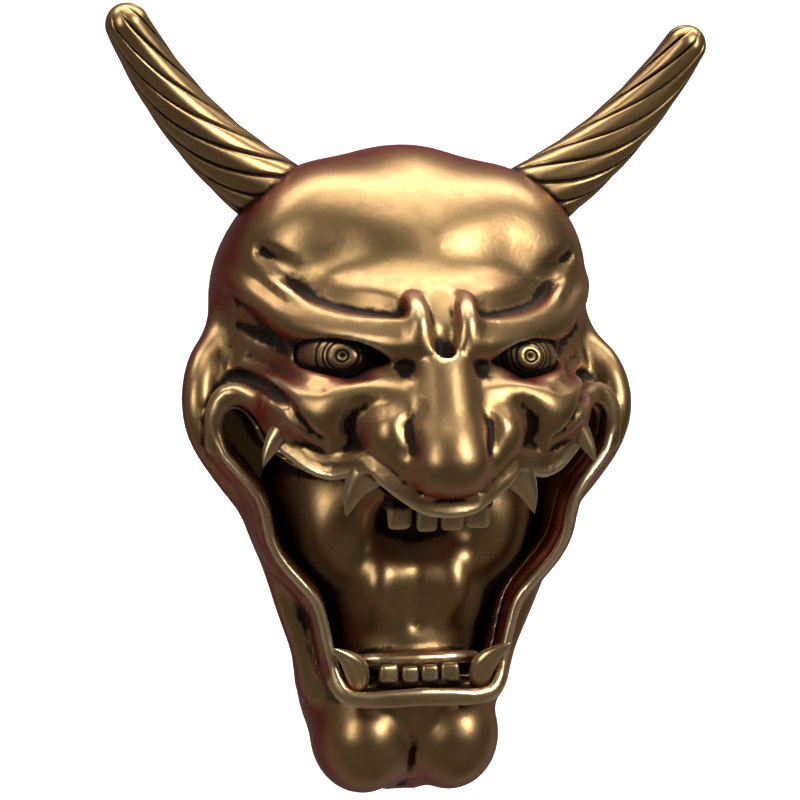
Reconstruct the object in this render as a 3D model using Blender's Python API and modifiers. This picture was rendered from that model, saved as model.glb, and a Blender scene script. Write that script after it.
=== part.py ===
"""Hanging noh mask of the horned-demon kind: hollow bronze face with fitted horns, eyes, fangs,
teeth, mouth lining and a swinging hanging ring behind.

Frame: +Z up, the face looks toward -Y, +X is the wearer's left (a viewer's right).
The origin is the inside top of the hanging ring, the point that bears on the wall hook.
Lengths in the helpers are millimetres: x to the side, out from the plane through the horn
roots toward the viewer, up from the level of the pupils. at() turns them into metres.
"""
import math

import bmesh
import bpy
from mathutils import Matrix, Vector

MM = 0.001
HOOK_UP = 52.0          # hook point above the pupils
HOOK_OUT = -8.0         # hook point against the horn-root plane, negative is behind it
RIM_OUT = -9.0          # flat back rim of the casting
WALL_THICKNESS = 4.5    # cast wall
FIT_GAP = 0.3           # clearance at every seat
CLAY_STEP = 2.0         # voxel size of the modelled head
FACE_TRIANGLES = 5600
RING_WIRE = 1.3
RING_HALF_WIDTH = 11.0
RING_PIVOT_UP = 36.0

COLLECTION = "noh_mask"
CUTTERS = "cutters"

# ---- driving dimensions of the fitted pieces ----------------------------------------------
HORN_PATH = ((40.0, 3.5, 47.5), (75.5, 6.0, 69.0), (94.5, 20.0, 106.5))
HORN_ROOT_R = 12.6
HORN_END_R = 6.2
HORN_RINGS = 22
HORN_SIDES = 20
HORN_LOBES = 5
HORN_TWIST = 2.4
HORN_FLUTE = 0.045
STUD_R = 3.0
EYE_CENTRE = (25, 38, -0.5)
EYE_RADII = (15.5, 19.0, 9.5)
EYE_TURN = 30.0
LINING_SETBACK = 6.0
LINING_LAP = 3.0
LINING_WALL = 2.4
LINING_BACK = -2.0
LINING_BODY = ((0, -10, -62), (120, 32, 110))
UPPER_TEETH = (17.0, 59.5, -44.0, -51.5, 2.2, 0.9)
LOWER_TEETH = (13.5, 36.0, -107.0, -100.5, 2.0, 0.5)
FANGS = (                 # name, root, tip, radius
    ("fang_upper_outer", (44.5, 46, -24), (52.5, 49, -34), 4.0),
    ("fang_upper_inner", (21.5, 58, -33.5), (28.5, 57, -45), 5.0),
    ("fang_lower", (19.5, 34, -109), (28.5, 40, -93), 3.3),
)
BAR_HALF_LENGTH = 52.0
BAR_OUT = (-5.0, -2.5)
BAR_UP = (22.0, 34.0)
BAR_SCREW_X = 46.0
SCREW_R = 1.6
SCREW_HEAD = (3.2, 1.9)
CLIP_HALF_WIDTH = 5.0
CLIP_OUTER_R = 2.4
CLIP_SHEET = 2.0
RIVET_R = 1.2
RIVET_HEAD = (2.2, 1.0)
RIVET_UP = (25.2, 30.6)
PAD_THICKNESS = 2.2
PAD_WIDTH = 3.0
PAD_LENGTH = 12.0
PADS = (                  # name, x, up, long side vertical
    ("wall_pad_top", 0.0, 64.3, False),
    ("wall_pad_left", 63.2, -20.0, True),
    ("wall_pad_right", -63.2, -20.0, True),
    ("wall_pad_foot_left", 13.0, -142.0, False),
    ("wall_pad_foot_right", -13.0, -142.0, False),
)
WASHER = (7.0, 1.2)
NUT = (5.6, 4.6)

# ---- the head ----------------------------------------------------------------------------
SIDE_LUMPS = [   # centre, radii: cheek flank, cheek apple, frontal lobes, chin, nose wing, brow
    ((50, 16, -16), (22, 30, 22)),
    ((34, 36, -16), (20, 26, 18)),
    ((19, 22, 32), (18, 17, 16)),
    ((29, 10, 46), (16, 13, 13)),
    ((15, 14, -128), (17.5, 19, 19)),
    ((15, 62, -22), (9.0, 10, 9.5)),
    ((36, 26, 10), (18, 19, 16)),
]
MIDDLE_LUMPS = [          # cranium, brow, middle face, jaws, nose root, nose tip, muzzle
    ((0, -4, 13), (61, 42, 54)),
    ((0, 26, 6), (38, 38, 24)),
    ((0, 0, -18), (66, 56, 44)),
    ((0, 2, -62), (50, 34, 40)),
    ((0, 2, -105), (36, 34, 42)),
    ((0, 52, -8), (13, 16, 18)),
    ((0, 73, -30), (11, 12, 10.5)),
    ((0, 36, -30), (42, 32, 16)),
]
NOSE_BRIDGE = ([(0, 56, 12), (0, 61, 2), (0, 65, -10), (0, 70, -22), (0, 74, -30)],
               [6.5, 8, 8.5, 9, 10])
SIDE_WALL = ([(56, 10), (60, -12), (57, -30), (47, -58), (41, -78), (32, -105), (28, -124)],
             [7, 7, 7, 5.5, 5.5, 6, 6])
SIDE_WALL_LAYERS = (-6, 4, 14, 22, 28)
BROW_ROLL = ([(61, 0, 27), (57, 13, 26), (51, 24, 21), (45, 32, 16), (38, 39, 11),
              (28, 47, 7.5), (18, 55, 5.5), (8, 60, 5)], [2.5, 4.5, 6, 6.4, 6.4, 6.4, 6, 5])
BROW_RIDGE = ([(6, 60, 3), (6, 58.5, 12), (6, 50, 22), (9, 36, 33)], [4, 3.6, 3.4, 3])
LOWER_LID = ([(44, 32, 5), (39, 40, -2), (31, 48, -6), (22, 54, -8), (12, 56, -6)],
             [2.4, 2.6, 2.8, 2.8, 2.6])
ALAR_GROOVE = ([(12, 66, -9), (20, 67, -8), (26, 66, -13), (28, 65, -20), (26, 64, -28)],
               [2.0, 3.0, 3.6, 3.6, 2.6])
BROW_CLEFT = ([(0, 68, -1), (0, 66, 10), (0, 58, 24)], [1.8, 2.6, 1.8])
CHIN_GROOVE = ([(0, 38, -117), (0, 34, -130), (0, 22, -144), (0, 4, -151)],
               [1.6, 2.4, 3.0, 3.4])
MOUTH_EDGE = [            # half outline of the open mouth, x and up, upper middle to lower middle
    (0, -47), (8, -45), (14, -41), (20, -36), (27, -34), (33, -36), (39, -34), (45, -30),
    (49, -26), (52, -20), (56, -17), (60, -17), (62, -21), (61, -27), (57, -34), (52, -40),
    (48, -47), (46, -55), (44, -62), (40, -67), (35, -73), (31, -80), (30, -90), (29, -99),
    (26, -105), (20, -107.5), (10, -106.5), (0, -106),
]
UPPER_LIP = ([(65, 22, -30), (67, 25, -21), (63, 27, -14), (57, 32, -13), (51, 40, -18),
              (47, 45, -24), (40, 53, -30), (33, 58, -32), (26, 63, -30), (20, 68, -33),
              (12, 71, -40), (0, 72, -44)],
             [3.4, 3.8, 3.8, 3.6, 3.6, 3.6, 3.6, 3.6, 3.6, 3.8, 3.8, 3.8])
SIDE_LIP = ([(65, 24, -26), (62, 29, -34), (55, 32, -42), (51, 32, -50), (49, 32, -60),
             (44, 32, -68), (38, 32, -76), (34, 32, -84), (34, 33, -94), (32, 35, -104),
             (25, 38, -110), (12, 39, -110), (0, 39, -109.5)],
            [3.6, 3.8, 3.8, 3.8, 3.8, 4.0, 4.0, 3.8, 3.8, 4.0, 3.8, 3.6, 3.6])
PALATE_LUMPS = [          # tongue root, tongue tip, throat rim
    ((0, 12, -84), (15, 14, 20)),
    ((0, 18, -97), (12, 12, 8)),
    ((0, 10, -52), (24, 12, 10)),
]


def clear_scene():
    for thing in list(bpy.data.objects):
        bpy.data.objects.remove(thing, do_unlink=True)
    for group in list(bpy.data.collections):
        bpy.data.collections.remove(group)
    for name in (COLLECTION, CUTTERS):
        group = bpy.data.collections.new(name)
        bpy.context.scene.collection.children.link(group)


def at(x, out, up):
    return Vector((x * MM, (HOOK_OUT - out) * MM, (up - HOOK_UP) * MM))


def finish_material(name, colour, roughness, metallic):
    made = bpy.data.materials.new(name)
    made.use_nodes = True
    shader = made.node_tree.nodes["Principled BSDF"]
    shader.inputs["Base Color"].default_value = (*colour, 1.0)
    shader.inputs["Roughness"].default_value = roughness
    shader.inputs["Metallic"].default_value = metallic
    made.diffuse_color = (*colour, 1.0)
    return made


def face_out(form):
    bmesh.ops.recalc_face_normals(form, faces=form.faces)
    if form.calc_volume(signed=True) < 0:
        bmesh.ops.reverse_faces(form, faces=form.faces)


def link_mesh(name, mesh, group_name=COLLECTION):
    thing = bpy.data.objects.new(name, mesh)
    bpy.data.collections[group_name].objects.link(thing)
    return thing


def ball(centre, radii, turn=0.0, segments=24, rings=16):
    """Ellipsoid of clay as its own mesh; turn is about the vertical, in degrees."""
    form = bmesh.new()
    bmesh.ops.create_uvsphere(form, u_segments=segments, v_segments=rings, radius=1.0)
    size = Matrix.Diagonal((radii[0] * MM, radii[1] * MM, radii[2] * MM, 1.0))
    place = Matrix.Translation(at(*centre)) @ Matrix.Rotation(math.radians(turn), 4, "Z") @ size
    form.transform(place)
    mesh = bpy.data.meshes.new("ball")
    form.to_mesh(mesh)
    form.free()
    return mesh


def roll(points, radii, sides=3):
    """Round roll of clay swept along points, each with its own radius."""
    curve = bpy.data.curves.new("roll", "CURVE")
    curve.dimensions = "3D"
    curve.bevel_depth = MM
    curve.bevel_resolution = sides
    curve.use_fill_caps = True
    curve.resolution_u = 6
    line = curve.splines.new("NURBS")
    line.points.add(len(points) - 1)
    line.order_u = 3
    line.use_endpoint_u = True
    for knot, place, radius in zip(line.points, points, radii):
        knot.co = (*at(*place), 1.0)
        knot.radius = radius
    thing = bpy.data.objects.new("roll", curve)
    bpy.context.scene.collection.objects.link(thing)
    graph = bpy.context.evaluated_depsgraph_get()
    mesh = bpy.data.meshes.new_from_object(thing.evaluated_get(graph))
    bpy.data.objects.remove(thing, do_unlink=True)
    bpy.data.curves.remove(curve)
    form = bmesh.new()
    form.from_mesh(mesh)
    bmesh.ops.remove_doubles(form, verts=form.verts, dist=1e-6)
    form.to_mesh(mesh)
    form.free()
    return mesh


def mirrored(mesh):
    form = bmesh.new()
    form.from_mesh(mesh)
    form.transform(Matrix.Diagonal((-1.0, 1.0, 1.0, 1.0)))
    bmesh.ops.reverse_faces(form, faces=form.faces)
    other = bpy.data.meshes.new("mirrored")
    form.to_mesh(other)
    form.free()
    return other


def gathered(name, meshes, group_name):
    form = bmesh.new()
    for mesh in meshes:
        form.from_mesh(mesh)
    mesh = bpy.data.meshes.new(name)
    form.to_mesh(mesh)
    form.free()
    return link_mesh(name, mesh, group_name)


def baked(thing):
    """Replace the object's mesh by what its modifiers make."""
    graph = bpy.context.evaluated_depsgraph_get()
    mesh = bpy.data.meshes.new_from_object(thing.evaluated_get(graph))
    thing.modifiers.clear()
    thing.data = mesh
    return thing


def fused(thing, step, smooth):
    """Work the lumps of clay into one skin and smooth it."""
    skin = thing.modifiers.new("skin", "REMESH")
    skin.mode = "VOXEL"
    skin.voxel_size = step * MM
    if smooth:
        soft = thing.modifiers.new("soft", "SMOOTH")
        soft.factor = 0.5
        soft.iterations = smooth
    return baked(thing)


def thinned(thing, triangles):
    """Fewer triangles, then one closed body with outward faces."""
    tri = thing.modifiers.new("tri", "TRIANGULATE")
    tri.quad_method = "BEAUTY"
    baked(thing)
    count = len(thing.data.polygons)
    if count > triangles:
        fewer = thing.modifiers.new("fewer", "DECIMATE")
        fewer.ratio = triangles / count
        baked(thing)
    return thing


def carve(thing, cutter, operation="DIFFERENCE"):
    cutter.hide_render = True
    cutter.display_type = "WIRE"
    cut = thing.modifiers.new("cut", "BOOLEAN")
    cut.operation = operation
    cut.solver = "EXACT"
    cut.object = cutter
    baked(thing)
    return thing


def main_body(thing):
    """Drop crumbs left by a cut: only the body with the most vertices stays."""
    form = bmesh.new()
    form.from_mesh(thing.data)
    left = set(form.verts)
    best = set()
    while left:
        start = left.pop()
        body = {start}
        edge_front = [start]
        while edge_front:
            here = edge_front.pop()
            for edge in here.link_edges:
                other = edge.other_vert(here)
                if other in left:
                    left.discard(other)
                    body.add(other)
                    edge_front.append(other)
        if len(body) > len(best):
            best = body
    crumbs = [v for v in form.verts if v not in best]
    bmesh.ops.delete(form, geom=crumbs, context="VERTS")
    form.to_mesh(thing.data)
    form.free()
    return thing


def block(name, low, high, group_name=COLLECTION, bevel=0.0, segments=2):
    """Box between two corners given as (x, out, up)."""
    form = bmesh.new()
    bmesh.ops.create_cube(form, size=1.0)
    a, b = at(*low), at(*high)
    size = Vector((abs(b.x - a.x), abs(b.y - a.y), abs(b.z - a.z)))
    form.transform(Matrix.Translation((a + b) / 2) @ Matrix.Diagonal((*size, 1.0)))
    if bevel:
        bmesh.ops.bevel(form, geom=list(form.edges), offset=bevel * MM, segments=segments,
                        profile=0.5, affect="EDGES", clamp_overlap=True)
    mesh = bpy.data.meshes.new(name)
    form.to_mesh(mesh)
    form.free()
    return link_mesh(name, mesh, group_name)


def turned(name, profile, place, axis, sides=32, group_name=COLLECTION):
    """Body of revolution from (radius, height) pairs, its axis laid along a direction."""
    form = bmesh.new()
    ring = [form.verts.new((r * MM, 0.0, h * MM)) for r, h in profile]
    edges = [form.edges.new((ring[i], ring[(i + 1) % len(ring)])) for i in range(len(ring))]
    bmesh.ops.spin(form, geom=ring + edges, cent=(0, 0, 0), axis=(0, 0, 1),
                   angle=math.tau, steps=sides, use_merge=True)
    bmesh.ops.remove_doubles(form, verts=form.verts, dist=1e-6)
    loose = [v for v in form.verts if not v.link_faces]
    bmesh.ops.delete(form, geom=loose, context="VERTS")
    inner = [e for e in form.edges if not e.link_faces]
    bmesh.ops.delete(form, geom=inner, context="EDGES")
    face_out(form)
    spin = Vector((0, 0, 1)).rotation_difference(axis.normalized()).to_matrix().to_4x4()
    form.transform(Matrix.Translation(place) @ spin)
    mesh = bpy.data.meshes.new(name)
    form.to_mesh(mesh)
    form.free()
    return link_mesh(name, mesh, group_name)


def seat(host, piece, gap=FIT_GAP):
    """Cut the hollow that a fitted piece sits in, a hair larger than the piece."""
    cutter = link_mesh(piece.name + "_seat", piece.data.copy(), CUTTERS)
    grow = cutter.modifiers.new("grow", "DISPLACE")
    grow.strength = gap * MM
    grow.mid_level = 0.0
    baked(cutter)
    carve(host, cutter)


def outline_prism(name, inset, low_out, high_out, group_name=CUTTERS):
    """The mouth outline, drawn in by inset, as a straight prism along the viewing direction."""
    half = [Vector(p) for p in MOUTH_EDGE]
    loop = half + [Vector((-p.x, p.y)) for p in reversed(half[1:-1])]
    count = len(loop)
    drawn = []
    for i, here in enumerate(loop):
        along = (loop[(i + 1) % count] - loop[i - 1]).normalized()
        inward = Vector((along.y, -along.x))
        drawn.append(here + inward * inset)
    form = bmesh.new()
    floor = [form.verts.new(at(p.x, low_out, p.y)) for p in drawn]
    face = form.faces.new(floor)
    grown = bmesh.ops.extrude_face_region(form, geom=[face])
    lifted = [v for v in grown["geom"] if isinstance(v, bmesh.types.BMVert)]
    bmesh.ops.translate(form, verts=lifted, vec=at(0, high_out, 0) - at(0, low_out, 0))
    face_out(form)
    mesh = bpy.data.meshes.new(name)
    form.to_mesh(mesh)
    form.free()
    return link_mesh(name, mesh, group_name)


def head_lumps(shrink):
    """Every lump and roll of the solid head, each drawn in by shrink."""
    made = []
    for centre, radii in MIDDLE_LUMPS:
        made.append(ball(centre, [r - shrink for r in radii]))
    for centre, radii in SIDE_LUMPS:
        if min(radii) - shrink > 2.5:
            lump = ball(centre, [r - shrink for r in radii])
            made += [lump, mirrored(lump)]
    made.append(roll(NOSE_BRIDGE[0], [max(r - shrink, 1.5) for r in NOSE_BRIDGE[1]]))
    return made


def side_walls():
    """Stacked rolls that carry the cheek and jaw flanks from the rim forward to the lips."""
    made = []
    for out in SIDE_WALL_LAYERS:
        strip = roll([(x, out, up) for x, up in SIDE_WALL[0]], SIDE_WALL[1])
        made += [strip, mirrored(strip)]
    return made


def face_shell():
    """Solid head, mouth and grooves cut, lips and brows laid on, then hollowed from behind."""
    head = gathered("face_shell", head_lumps(0.0) + side_walls(), COLLECTION)
    fused(head, CLAY_STEP, 4)
    carve(head, outline_prism("mouth_cut", 0.0, -40.0, 120.0))
    grooves = []
    for points, radii in (ALAR_GROOVE, BROW_CLEFT, CHIN_GROOVE):
        cut = roll(points, radii)
        grooves.append(cut)
        if points[0][0] > 0:
            grooves.append(mirrored(cut))
    carve(head, fused(gathered("grooves", grooves, CUTTERS), 0.8, 0))
    laid = []
    for points, radii in (BROW_ROLL, BROW_RIDGE, LOWER_LID, UPPER_LIP, SIDE_LIP):
        strip = roll(points, radii)
        laid += [strip, mirrored(strip)]
    form = bmesh.new()
    form.from_mesh(head.data)
    for mesh in laid:
        form.from_mesh(mesh)
    form.to_mesh(head.data)
    form.free()
    fused(head, CLAY_STEP * 0.7, 3)
    thinned(head, FACE_TRIANGLES)
    hollow = gathered("hollow", head_lumps(WALL_THICKNESS), CUTTERS)
    fused(hollow, CLAY_STEP * 1.5, 2)
    thinned(hollow, 1300)
    carve(head, hollow)
    carve(head, block("behind", (-150, -80, -220), (150, RIM_OUT, 120), CUTTERS))
    main_body(head)
    return head


def mouth_lining(host):
    """Closed bag behind the lips, fitted to the casting all round: back, throat and tongue."""
    behind = ball(LINING_BODY[0], LINING_BODY[1])
    front = gathered("lining_front", head_lumps(LINING_SETBACK) + [behind], CUTTERS)
    fused(front, CLAY_STEP * 1.5, 2)
    thinned(front, 1300)
    bag = outline_prism("mouth_lining", -LINING_LAP, LINING_BACK, 90.0, COLLECTION)
    carve(bag, front, "INTERSECT")
    inside = outline_prism("mouth_inside", LINING_WALL, LINING_BACK + LINING_WALL, 100.0)
    tongue = gathered("tongue", [ball(c, r) for c, r in PALATE_LUMPS], CUTTERS)
    fused(tongue, CLAY_STEP, 2)
    thinned(tongue, 500)
    carve(inside, tongue)
    main_body(inside)
    carve(bag, inside)
    main_body(bag)
    seat(bag, host)
    main_body(bag)
    return bag


def paint(thing, material, smooth=True):
    thing.data.materials.clear()
    thing.data.materials.append(material)
    for face in thing.data.polygons:
        face.use_smooth = smooth
    return thing


def horn(name, side):
    """Tapering twisted horn; its root cylinder passes the wall and ends in a threaded stud."""
    rings, sides = HORN_RINGS, HORN_SIDES
    form = bmesh.new()
    bmesh.ops.create_cone(form, cap_ends=True, segments=sides, radius1=1.0, radius2=1.0, depth=1.0)
    long_edges = [e for e in form.edges if abs(e.verts[0].co.z - e.verts[1].co.z) > 0.5]
    bmesh.ops.subdivide_edges(form, edges=long_edges, cuts=rings - 1, use_grid_fill=True)
    for v in form.verts:
        t = v.co.z + 0.5
        around = math.atan2(v.co.y, v.co.x)
        if v.co.xy.length < 0.5:
            around = 0.0
        centre, along, across, outward = horn_frame(t)
        lobe = 1.0 + HORN_FLUTE * math.cos(HORN_LOBES * (around - HORN_TWIST * t)) * min(1, t * 8)
        radius = horn_radius(t) * lobe * min(1.0, v.co.xy.length)
        v.co = centre + (across * math.cos(around) + outward * math.sin(around)) * radius
    if side < 0:
        form.transform(Matrix.Diagonal((-1.0, 1.0, 1.0, 1.0)))
    face_out(form)
    mesh = bpy.data.meshes.new(name)
    form.to_mesh(mesh)
    form.free()
    return link_mesh(name, mesh)


def horn_centre(t):
    root, bend, end = (at(*p) for p in HORN_PATH)
    return root * (1 - t) ** 2 + bend * 2 * t * (1 - t) + end * t ** 2


def horn_frame(t):
    along = (horn_centre(min(t + 0.01, 1.0)) - horn_centre(max(t - 0.01, 0.0))).normalized()
    across = along.cross(Vector((0, 1, 0))).normalized()
    return horn_centre(t), along, across, across.cross(along)


def horn_radius(t):
    body = HORN_ROOT_R + (HORN_END_R - HORN_ROOT_R) * t ** 0.9
    blunt = math.sqrt(max(0.0, 1.0 - max(0.0, (t - 0.93) / 0.07) ** 2))
    return body * max(blunt, 0.28) * MM


def fang(name, root, tip, radius, side, bow=0.15):
    """Curved cone with a rounded point; the root end sits in its socket."""
    form = bmesh.new()
    bmesh.ops.create_cone(form, cap_ends=True, segments=12, radius1=1.0, radius2=1.0, depth=1.0)
    long_edges = [e for e in form.edges if abs(e.verts[0].co.z - e.verts[1].co.z) > 0.5]
    bmesh.ops.subdivide_edges(form, edges=long_edges, cuts=5, use_grid_fill=True)
    a, b = at(*root), at(*tip)
    along = (b - a).normalized()
    across = along.cross(Vector((0, 1, 0))).normalized()
    outward = across.cross(along)
    for v in form.verts:
        t = v.co.z + 0.5
        wide = radius * MM * (1.0 - t) ** 0.6 if t < 0.98 else radius * MM * 0.12
        sag = across * math.sin(math.pi * t) * bow * (b - a).length
        v.co = a + (b - a) * t + sag + across * v.co.x * wide + outward * v.co.y * wide * 0.8
    if side < 0:
        form.transform(Matrix.Diagonal((-1.0, 1.0, 1.0, 1.0)))
    face_out(form)
    mesh = bpy.data.meshes.new(name)
    form.to_mesh(mesh)
    form.free()
    return link_mesh(name, mesh)


def tooth_row(name, half_width, out, root_up, edge_up, depth, bow):
    """Four front teeth on one gum strip."""
    lumps = []
    pitch = half_width / 2
    reach = (edge_up - root_up) / 2
    for place in (-1.5, -0.5, 0.5, 1.5):
        x = place * pitch
        drop = bow * place * place
        lumps.append(ball((x, out - drop, (edge_up + root_up) / 2),
                          (pitch * 0.47, depth, abs(reach)), 0.0, 12, 8))
    knots = [(x, out - bow * (x / pitch) ** 2, root_up) for x in
             (-half_width, -half_width / 2, 0, half_width / 2, half_width)]
    lumps.append(roll(knots, [depth * 0.9] * 5, 2))
    row = gathered(name, lumps, COLLECTION)
    fused(row, 0.7, 1)
    thinned(row, 520)
    return row


def hanging_ring():
    """D-shaped wire ring with its straight side on the hinge axis."""
    wire = RING_WIRE
    top = HOOK_UP + wire
    pivot = RING_PIVOT_UP
    bend = top - RING_HALF_WIDTH
    knots = [(-RING_HALF_WIDTH, pivot), (RING_HALF_WIDTH, pivot), (RING_HALF_WIDTH, bend)]
    for step in range(1, 12):
        a = math.pi * step / 12
        knots.append((RING_HALF_WIDTH * math.cos(a), bend + RING_HALF_WIDTH * math.sin(a)))
    knots.append((-RING_HALF_WIDTH, bend))
    curve = bpy.data.curves.new("ring_path", "CURVE")
    curve.dimensions = "3D"
    curve.bevel_depth = wire * MM
    curve.bevel_resolution = 2
    line = curve.splines.new("POLY")
    line.points.add(len(knots) - 1)
    line.use_cyclic_u = True
    for knot, (x, up) in zip(line.points, knots):
        knot.co = (*(at(x, HOOK_OUT, up) - at(0, HOOK_OUT, pivot)), 1.0)
    thing = bpy.data.objects.new("ring_path", curve)
    bpy.context.scene.collection.objects.link(thing)
    graph = bpy.context.evaluated_depsgraph_get()
    mesh = bpy.data.meshes.new_from_object(thing.evaluated_get(graph))
    bpy.data.objects.remove(thing, do_unlink=True)
    form = bmesh.new()
    form.from_mesh(mesh)
    bmesh.ops.remove_doubles(form, verts=form.verts, dist=1e-6)
    face_out(form)
    form.to_mesh(mesh)
    form.free()
    ring = link_mesh("hang_ring", mesh)
    ring.location = at(0, HOOK_OUT, pivot)
    return ring


def rod(name, place, direction, radius, length, sides=20, group_name=COLLECTION):
    """Solid round rod from place along direction."""
    form = bmesh.new()
    bmesh.ops.create_cone(form, cap_ends=True, segments=sides, radius1=radius * MM,
                          radius2=radius * MM, depth=length * MM)
    spin = Vector((0, 0, 1)).rotation_difference(direction.normalized()).to_matrix().to_4x4()
    middle = place + direction.normalized() * length * MM / 2
    form.transform(Matrix.Translation(middle) @ spin)
    mesh = bpy.data.meshes.new(name)
    form.to_mesh(mesh)
    form.free()
    return link_mesh(name, mesh, group_name)


def ring_clip():
    """Sheet folded round the straight side of the ring, both leaves lying on the bar."""
    width = 2 * CLIP_HALF_WIDTH
    start = at(-CLIP_HALF_WIDTH, HOOK_OUT, RING_PIVOT_UP)
    clip = rod("ring_clip", start, Vector((1, 0, 0)), CLIP_OUTER_R, width, 24)
    back = BAR_OUT[0] - FIT_GAP
    leaf = block("clip_leaf", (-CLIP_HALF_WIDTH, back - CLIP_SHEET, BAR_UP[0]),
                 (CLIP_HALF_WIDTH, back, RING_PIVOT_UP - 0.2), CUTTERS)
    carve(clip, leaf, "UNION")
    bore = rod("clip_bore", at(-20, HOOK_OUT, RING_PIVOT_UP), Vector((1, 0, 0)),
               RING_WIRE + FIT_GAP, 40, 24, CUTTERS)
    carve(clip, bore)
    return clip


def rivet(name, up):
    """Dome-headed rivet through the clip leaf and the bar."""
    front = BAR_OUT[1] + FIT_GAP
    back = BAR_OUT[0] - 2 * FIT_GAP - CLIP_SHEET
    length = front - back
    head_r, head_h = RIVET_HEAD
    profile = [(0, -head_h), (head_r * 0.6, -head_h), (head_r, -head_h * 0.4), (head_r, 0),
               (RIVET_R, 0), (RIVET_R, length), (head_r, length), (head_r, length + head_h * 0.4),
               (head_r * 0.6, length + head_h), (0, length + head_h)]
    return lathe(name, profile, at(0, back, up), Vector((0, -1, 0)), 16)


def lathe(name, profile, place, axis, sides, group_name=COLLECTION):
    """Solid of revolution whose profile starts and ends on the axis."""
    form = bmesh.new()
    line = [form.verts.new((r * MM, 0.0, h * MM)) for r, h in profile]
    edges = [form.edges.new((line[i], line[i + 1])) for i in range(len(line) - 1)]
    bmesh.ops.spin(form, geom=line + edges, cent=(0, 0, 0), axis=(0, 0, 1),
                   angle=math.tau, steps=sides)
    bmesh.ops.remove_doubles(form, verts=form.verts, dist=1e-6)
    face_out(form)
    spin = Vector((0, 0, 1)).rotation_difference(axis.normalized()).to_matrix().to_4x4()
    form.transform(Matrix.Translation(place) @ spin)
    mesh = bpy.data.meshes.new(name)
    form.to_mesh(mesh)
    form.free()
    return link_mesh(name, mesh, group_name)


def bar_screw(name, side):
    """Pan-head screw through one end of the bar into its boss."""
    back = BAR_OUT[0] - FIT_GAP
    head_r, head_h = SCREW_HEAD
    profile = [(0, -head_h), (head_r * 0.75, -head_h), (head_r, -head_h * 0.5), (head_r, 0),
               (SCREW_R, 0), (SCREW_R, 8.2), (0.5, 9.0), (0, 9.0)]
    up = (BAR_UP[0] + BAR_UP[1]) / 2
    return lathe(name, profile, at(side * BAR_SCREW_X, back, up), Vector((0, -1, 0)), 18)


def inner_face_depth(host, root, along, reach):
    """Distance behind the horn root at which the inside of the wall is first met."""
    across = along.cross(Vector((0, 1, 0))).normalized()
    other = across.cross(along)
    nearest = None
    start = root - along * 30 * MM
    for step in range(12):
        a = math.tau * step / 12
        for part in (0.6, 1.0, 1.08):
            place = start + (across * math.cos(a) + other * math.sin(a)) * reach * part * MM
            hit, where, _, _ = host.ray_cast(place, along)
            if hit:
                depth = 30 - (where - place).length / MM
                nearest = depth if nearest is None else max(nearest, depth)
    return nearest


def horn_fixings(host, horn_thing, side):
    """Stud on the horn root, then a washer and a hexagon nut inside the head."""
    word = "left" if side > 0 else "right"
    root, along, _, _ = horn_frame(0.0)
    flip = Vector((side, 1, 1))
    root, along = root * flip, along * flip
    depth = inner_face_depth(host, root, along, WASHER[0])
    base = depth + FIT_GAP
    reach = base + WASHER[1] + NUT[1] + 2 * FIT_GAP + 2.0
    stud = rod("stud_" + word, root + along * 2 * MM, -along, STUD_R, reach + 2.0, 16, CUTTERS)
    carve(horn_thing, stud, "UNION")
    wide, thick = WASHER
    bore = STUD_R + FIT_GAP
    washer_place = root - along * (base + thick) * MM
    washer = turned("horn_washer_" + word,
                    [(bore, 0), (wide, 0), (wide, thick), (bore, thick)], washer_place, along, 24)
    flat, tall = NUT
    nut_place = washer_place - along * (FIT_GAP + tall) * MM
    nut = rod("horn_nut_" + word, nut_place, along, flat, tall, 6)
    carve(nut, rod("nut_bore_" + word, nut_place - along * MM, along, bore, tall + 2, 16, CUTTERS))
    return [washer, nut]


def felt_pad(name, x, up, upright):
    half_x, half_up = PAD_WIDTH / 2, PAD_LENGTH / 2
    if not upright:
        half_x, half_up = half_up, half_x
    near = RIM_OUT - FIT_GAP
    return block(name, (x - half_x, near - PAD_THICKNESS, up - half_up),
                 (x + half_x, near, up + half_up), COLLECTION, 0.3, 1)


clear_scene()
CAST = finish_material("cast_bronze", (0.42, 0.30, 0.15), 0.38, 1.0)
HORN = finish_material("horn_bronze", (0.34, 0.23, 0.11), 0.38, 1.0)
GILT = finish_material("gilt_bronze", (0.62, 0.47, 0.24), 0.32, 1.0)
STEEL = finish_material("plated_steel", (0.62, 0.61, 0.58), 0.35, 1.0)
FELT = finish_material("brown_felt", (0.16, 0.11, 0.08), 0.95, 0.0)

shell = paint(face_shell(), CAST)
lining = paint(mouth_lining(shell), CAST)
pieces = []
for side, word in ((-1, "right"), (1, "left")):
    eye = gathered("eye_" + word, [ball((side * EYE_CENTRE[0],) + EYE_CENTRE[1:], EYE_RADII,
                                        side * EYE_TURN, 24, 14)], COLLECTION)
    pieces.append(paint(eye, GILT))
    pieces.append(horn("horn_" + word, side))
    for name, root, tip, radius in FANGS:
        pieces.append(paint(fang(name + "_" + word, root, tip, radius, side), GILT))
fixings = []
for side, word in ((-1, "right"), (1, "left")):
    fixings += horn_fixings(shell, bpy.data.collections[COLLECTION].objects["horn_" + word], side)
pieces.append(paint(tooth_row("teeth_upper", *UPPER_TEETH), GILT))
pieces.append(paint(tooth_row("teeth_lower", *LOWER_TEETH), GILT))
for piece in pieces:
    if piece.name.startswith("horn"):
        paint(piece, HORN)
    seat(shell, piece)
    if piece.name.startswith(("teeth", "fang")):
        seat(lining, piece)
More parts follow.
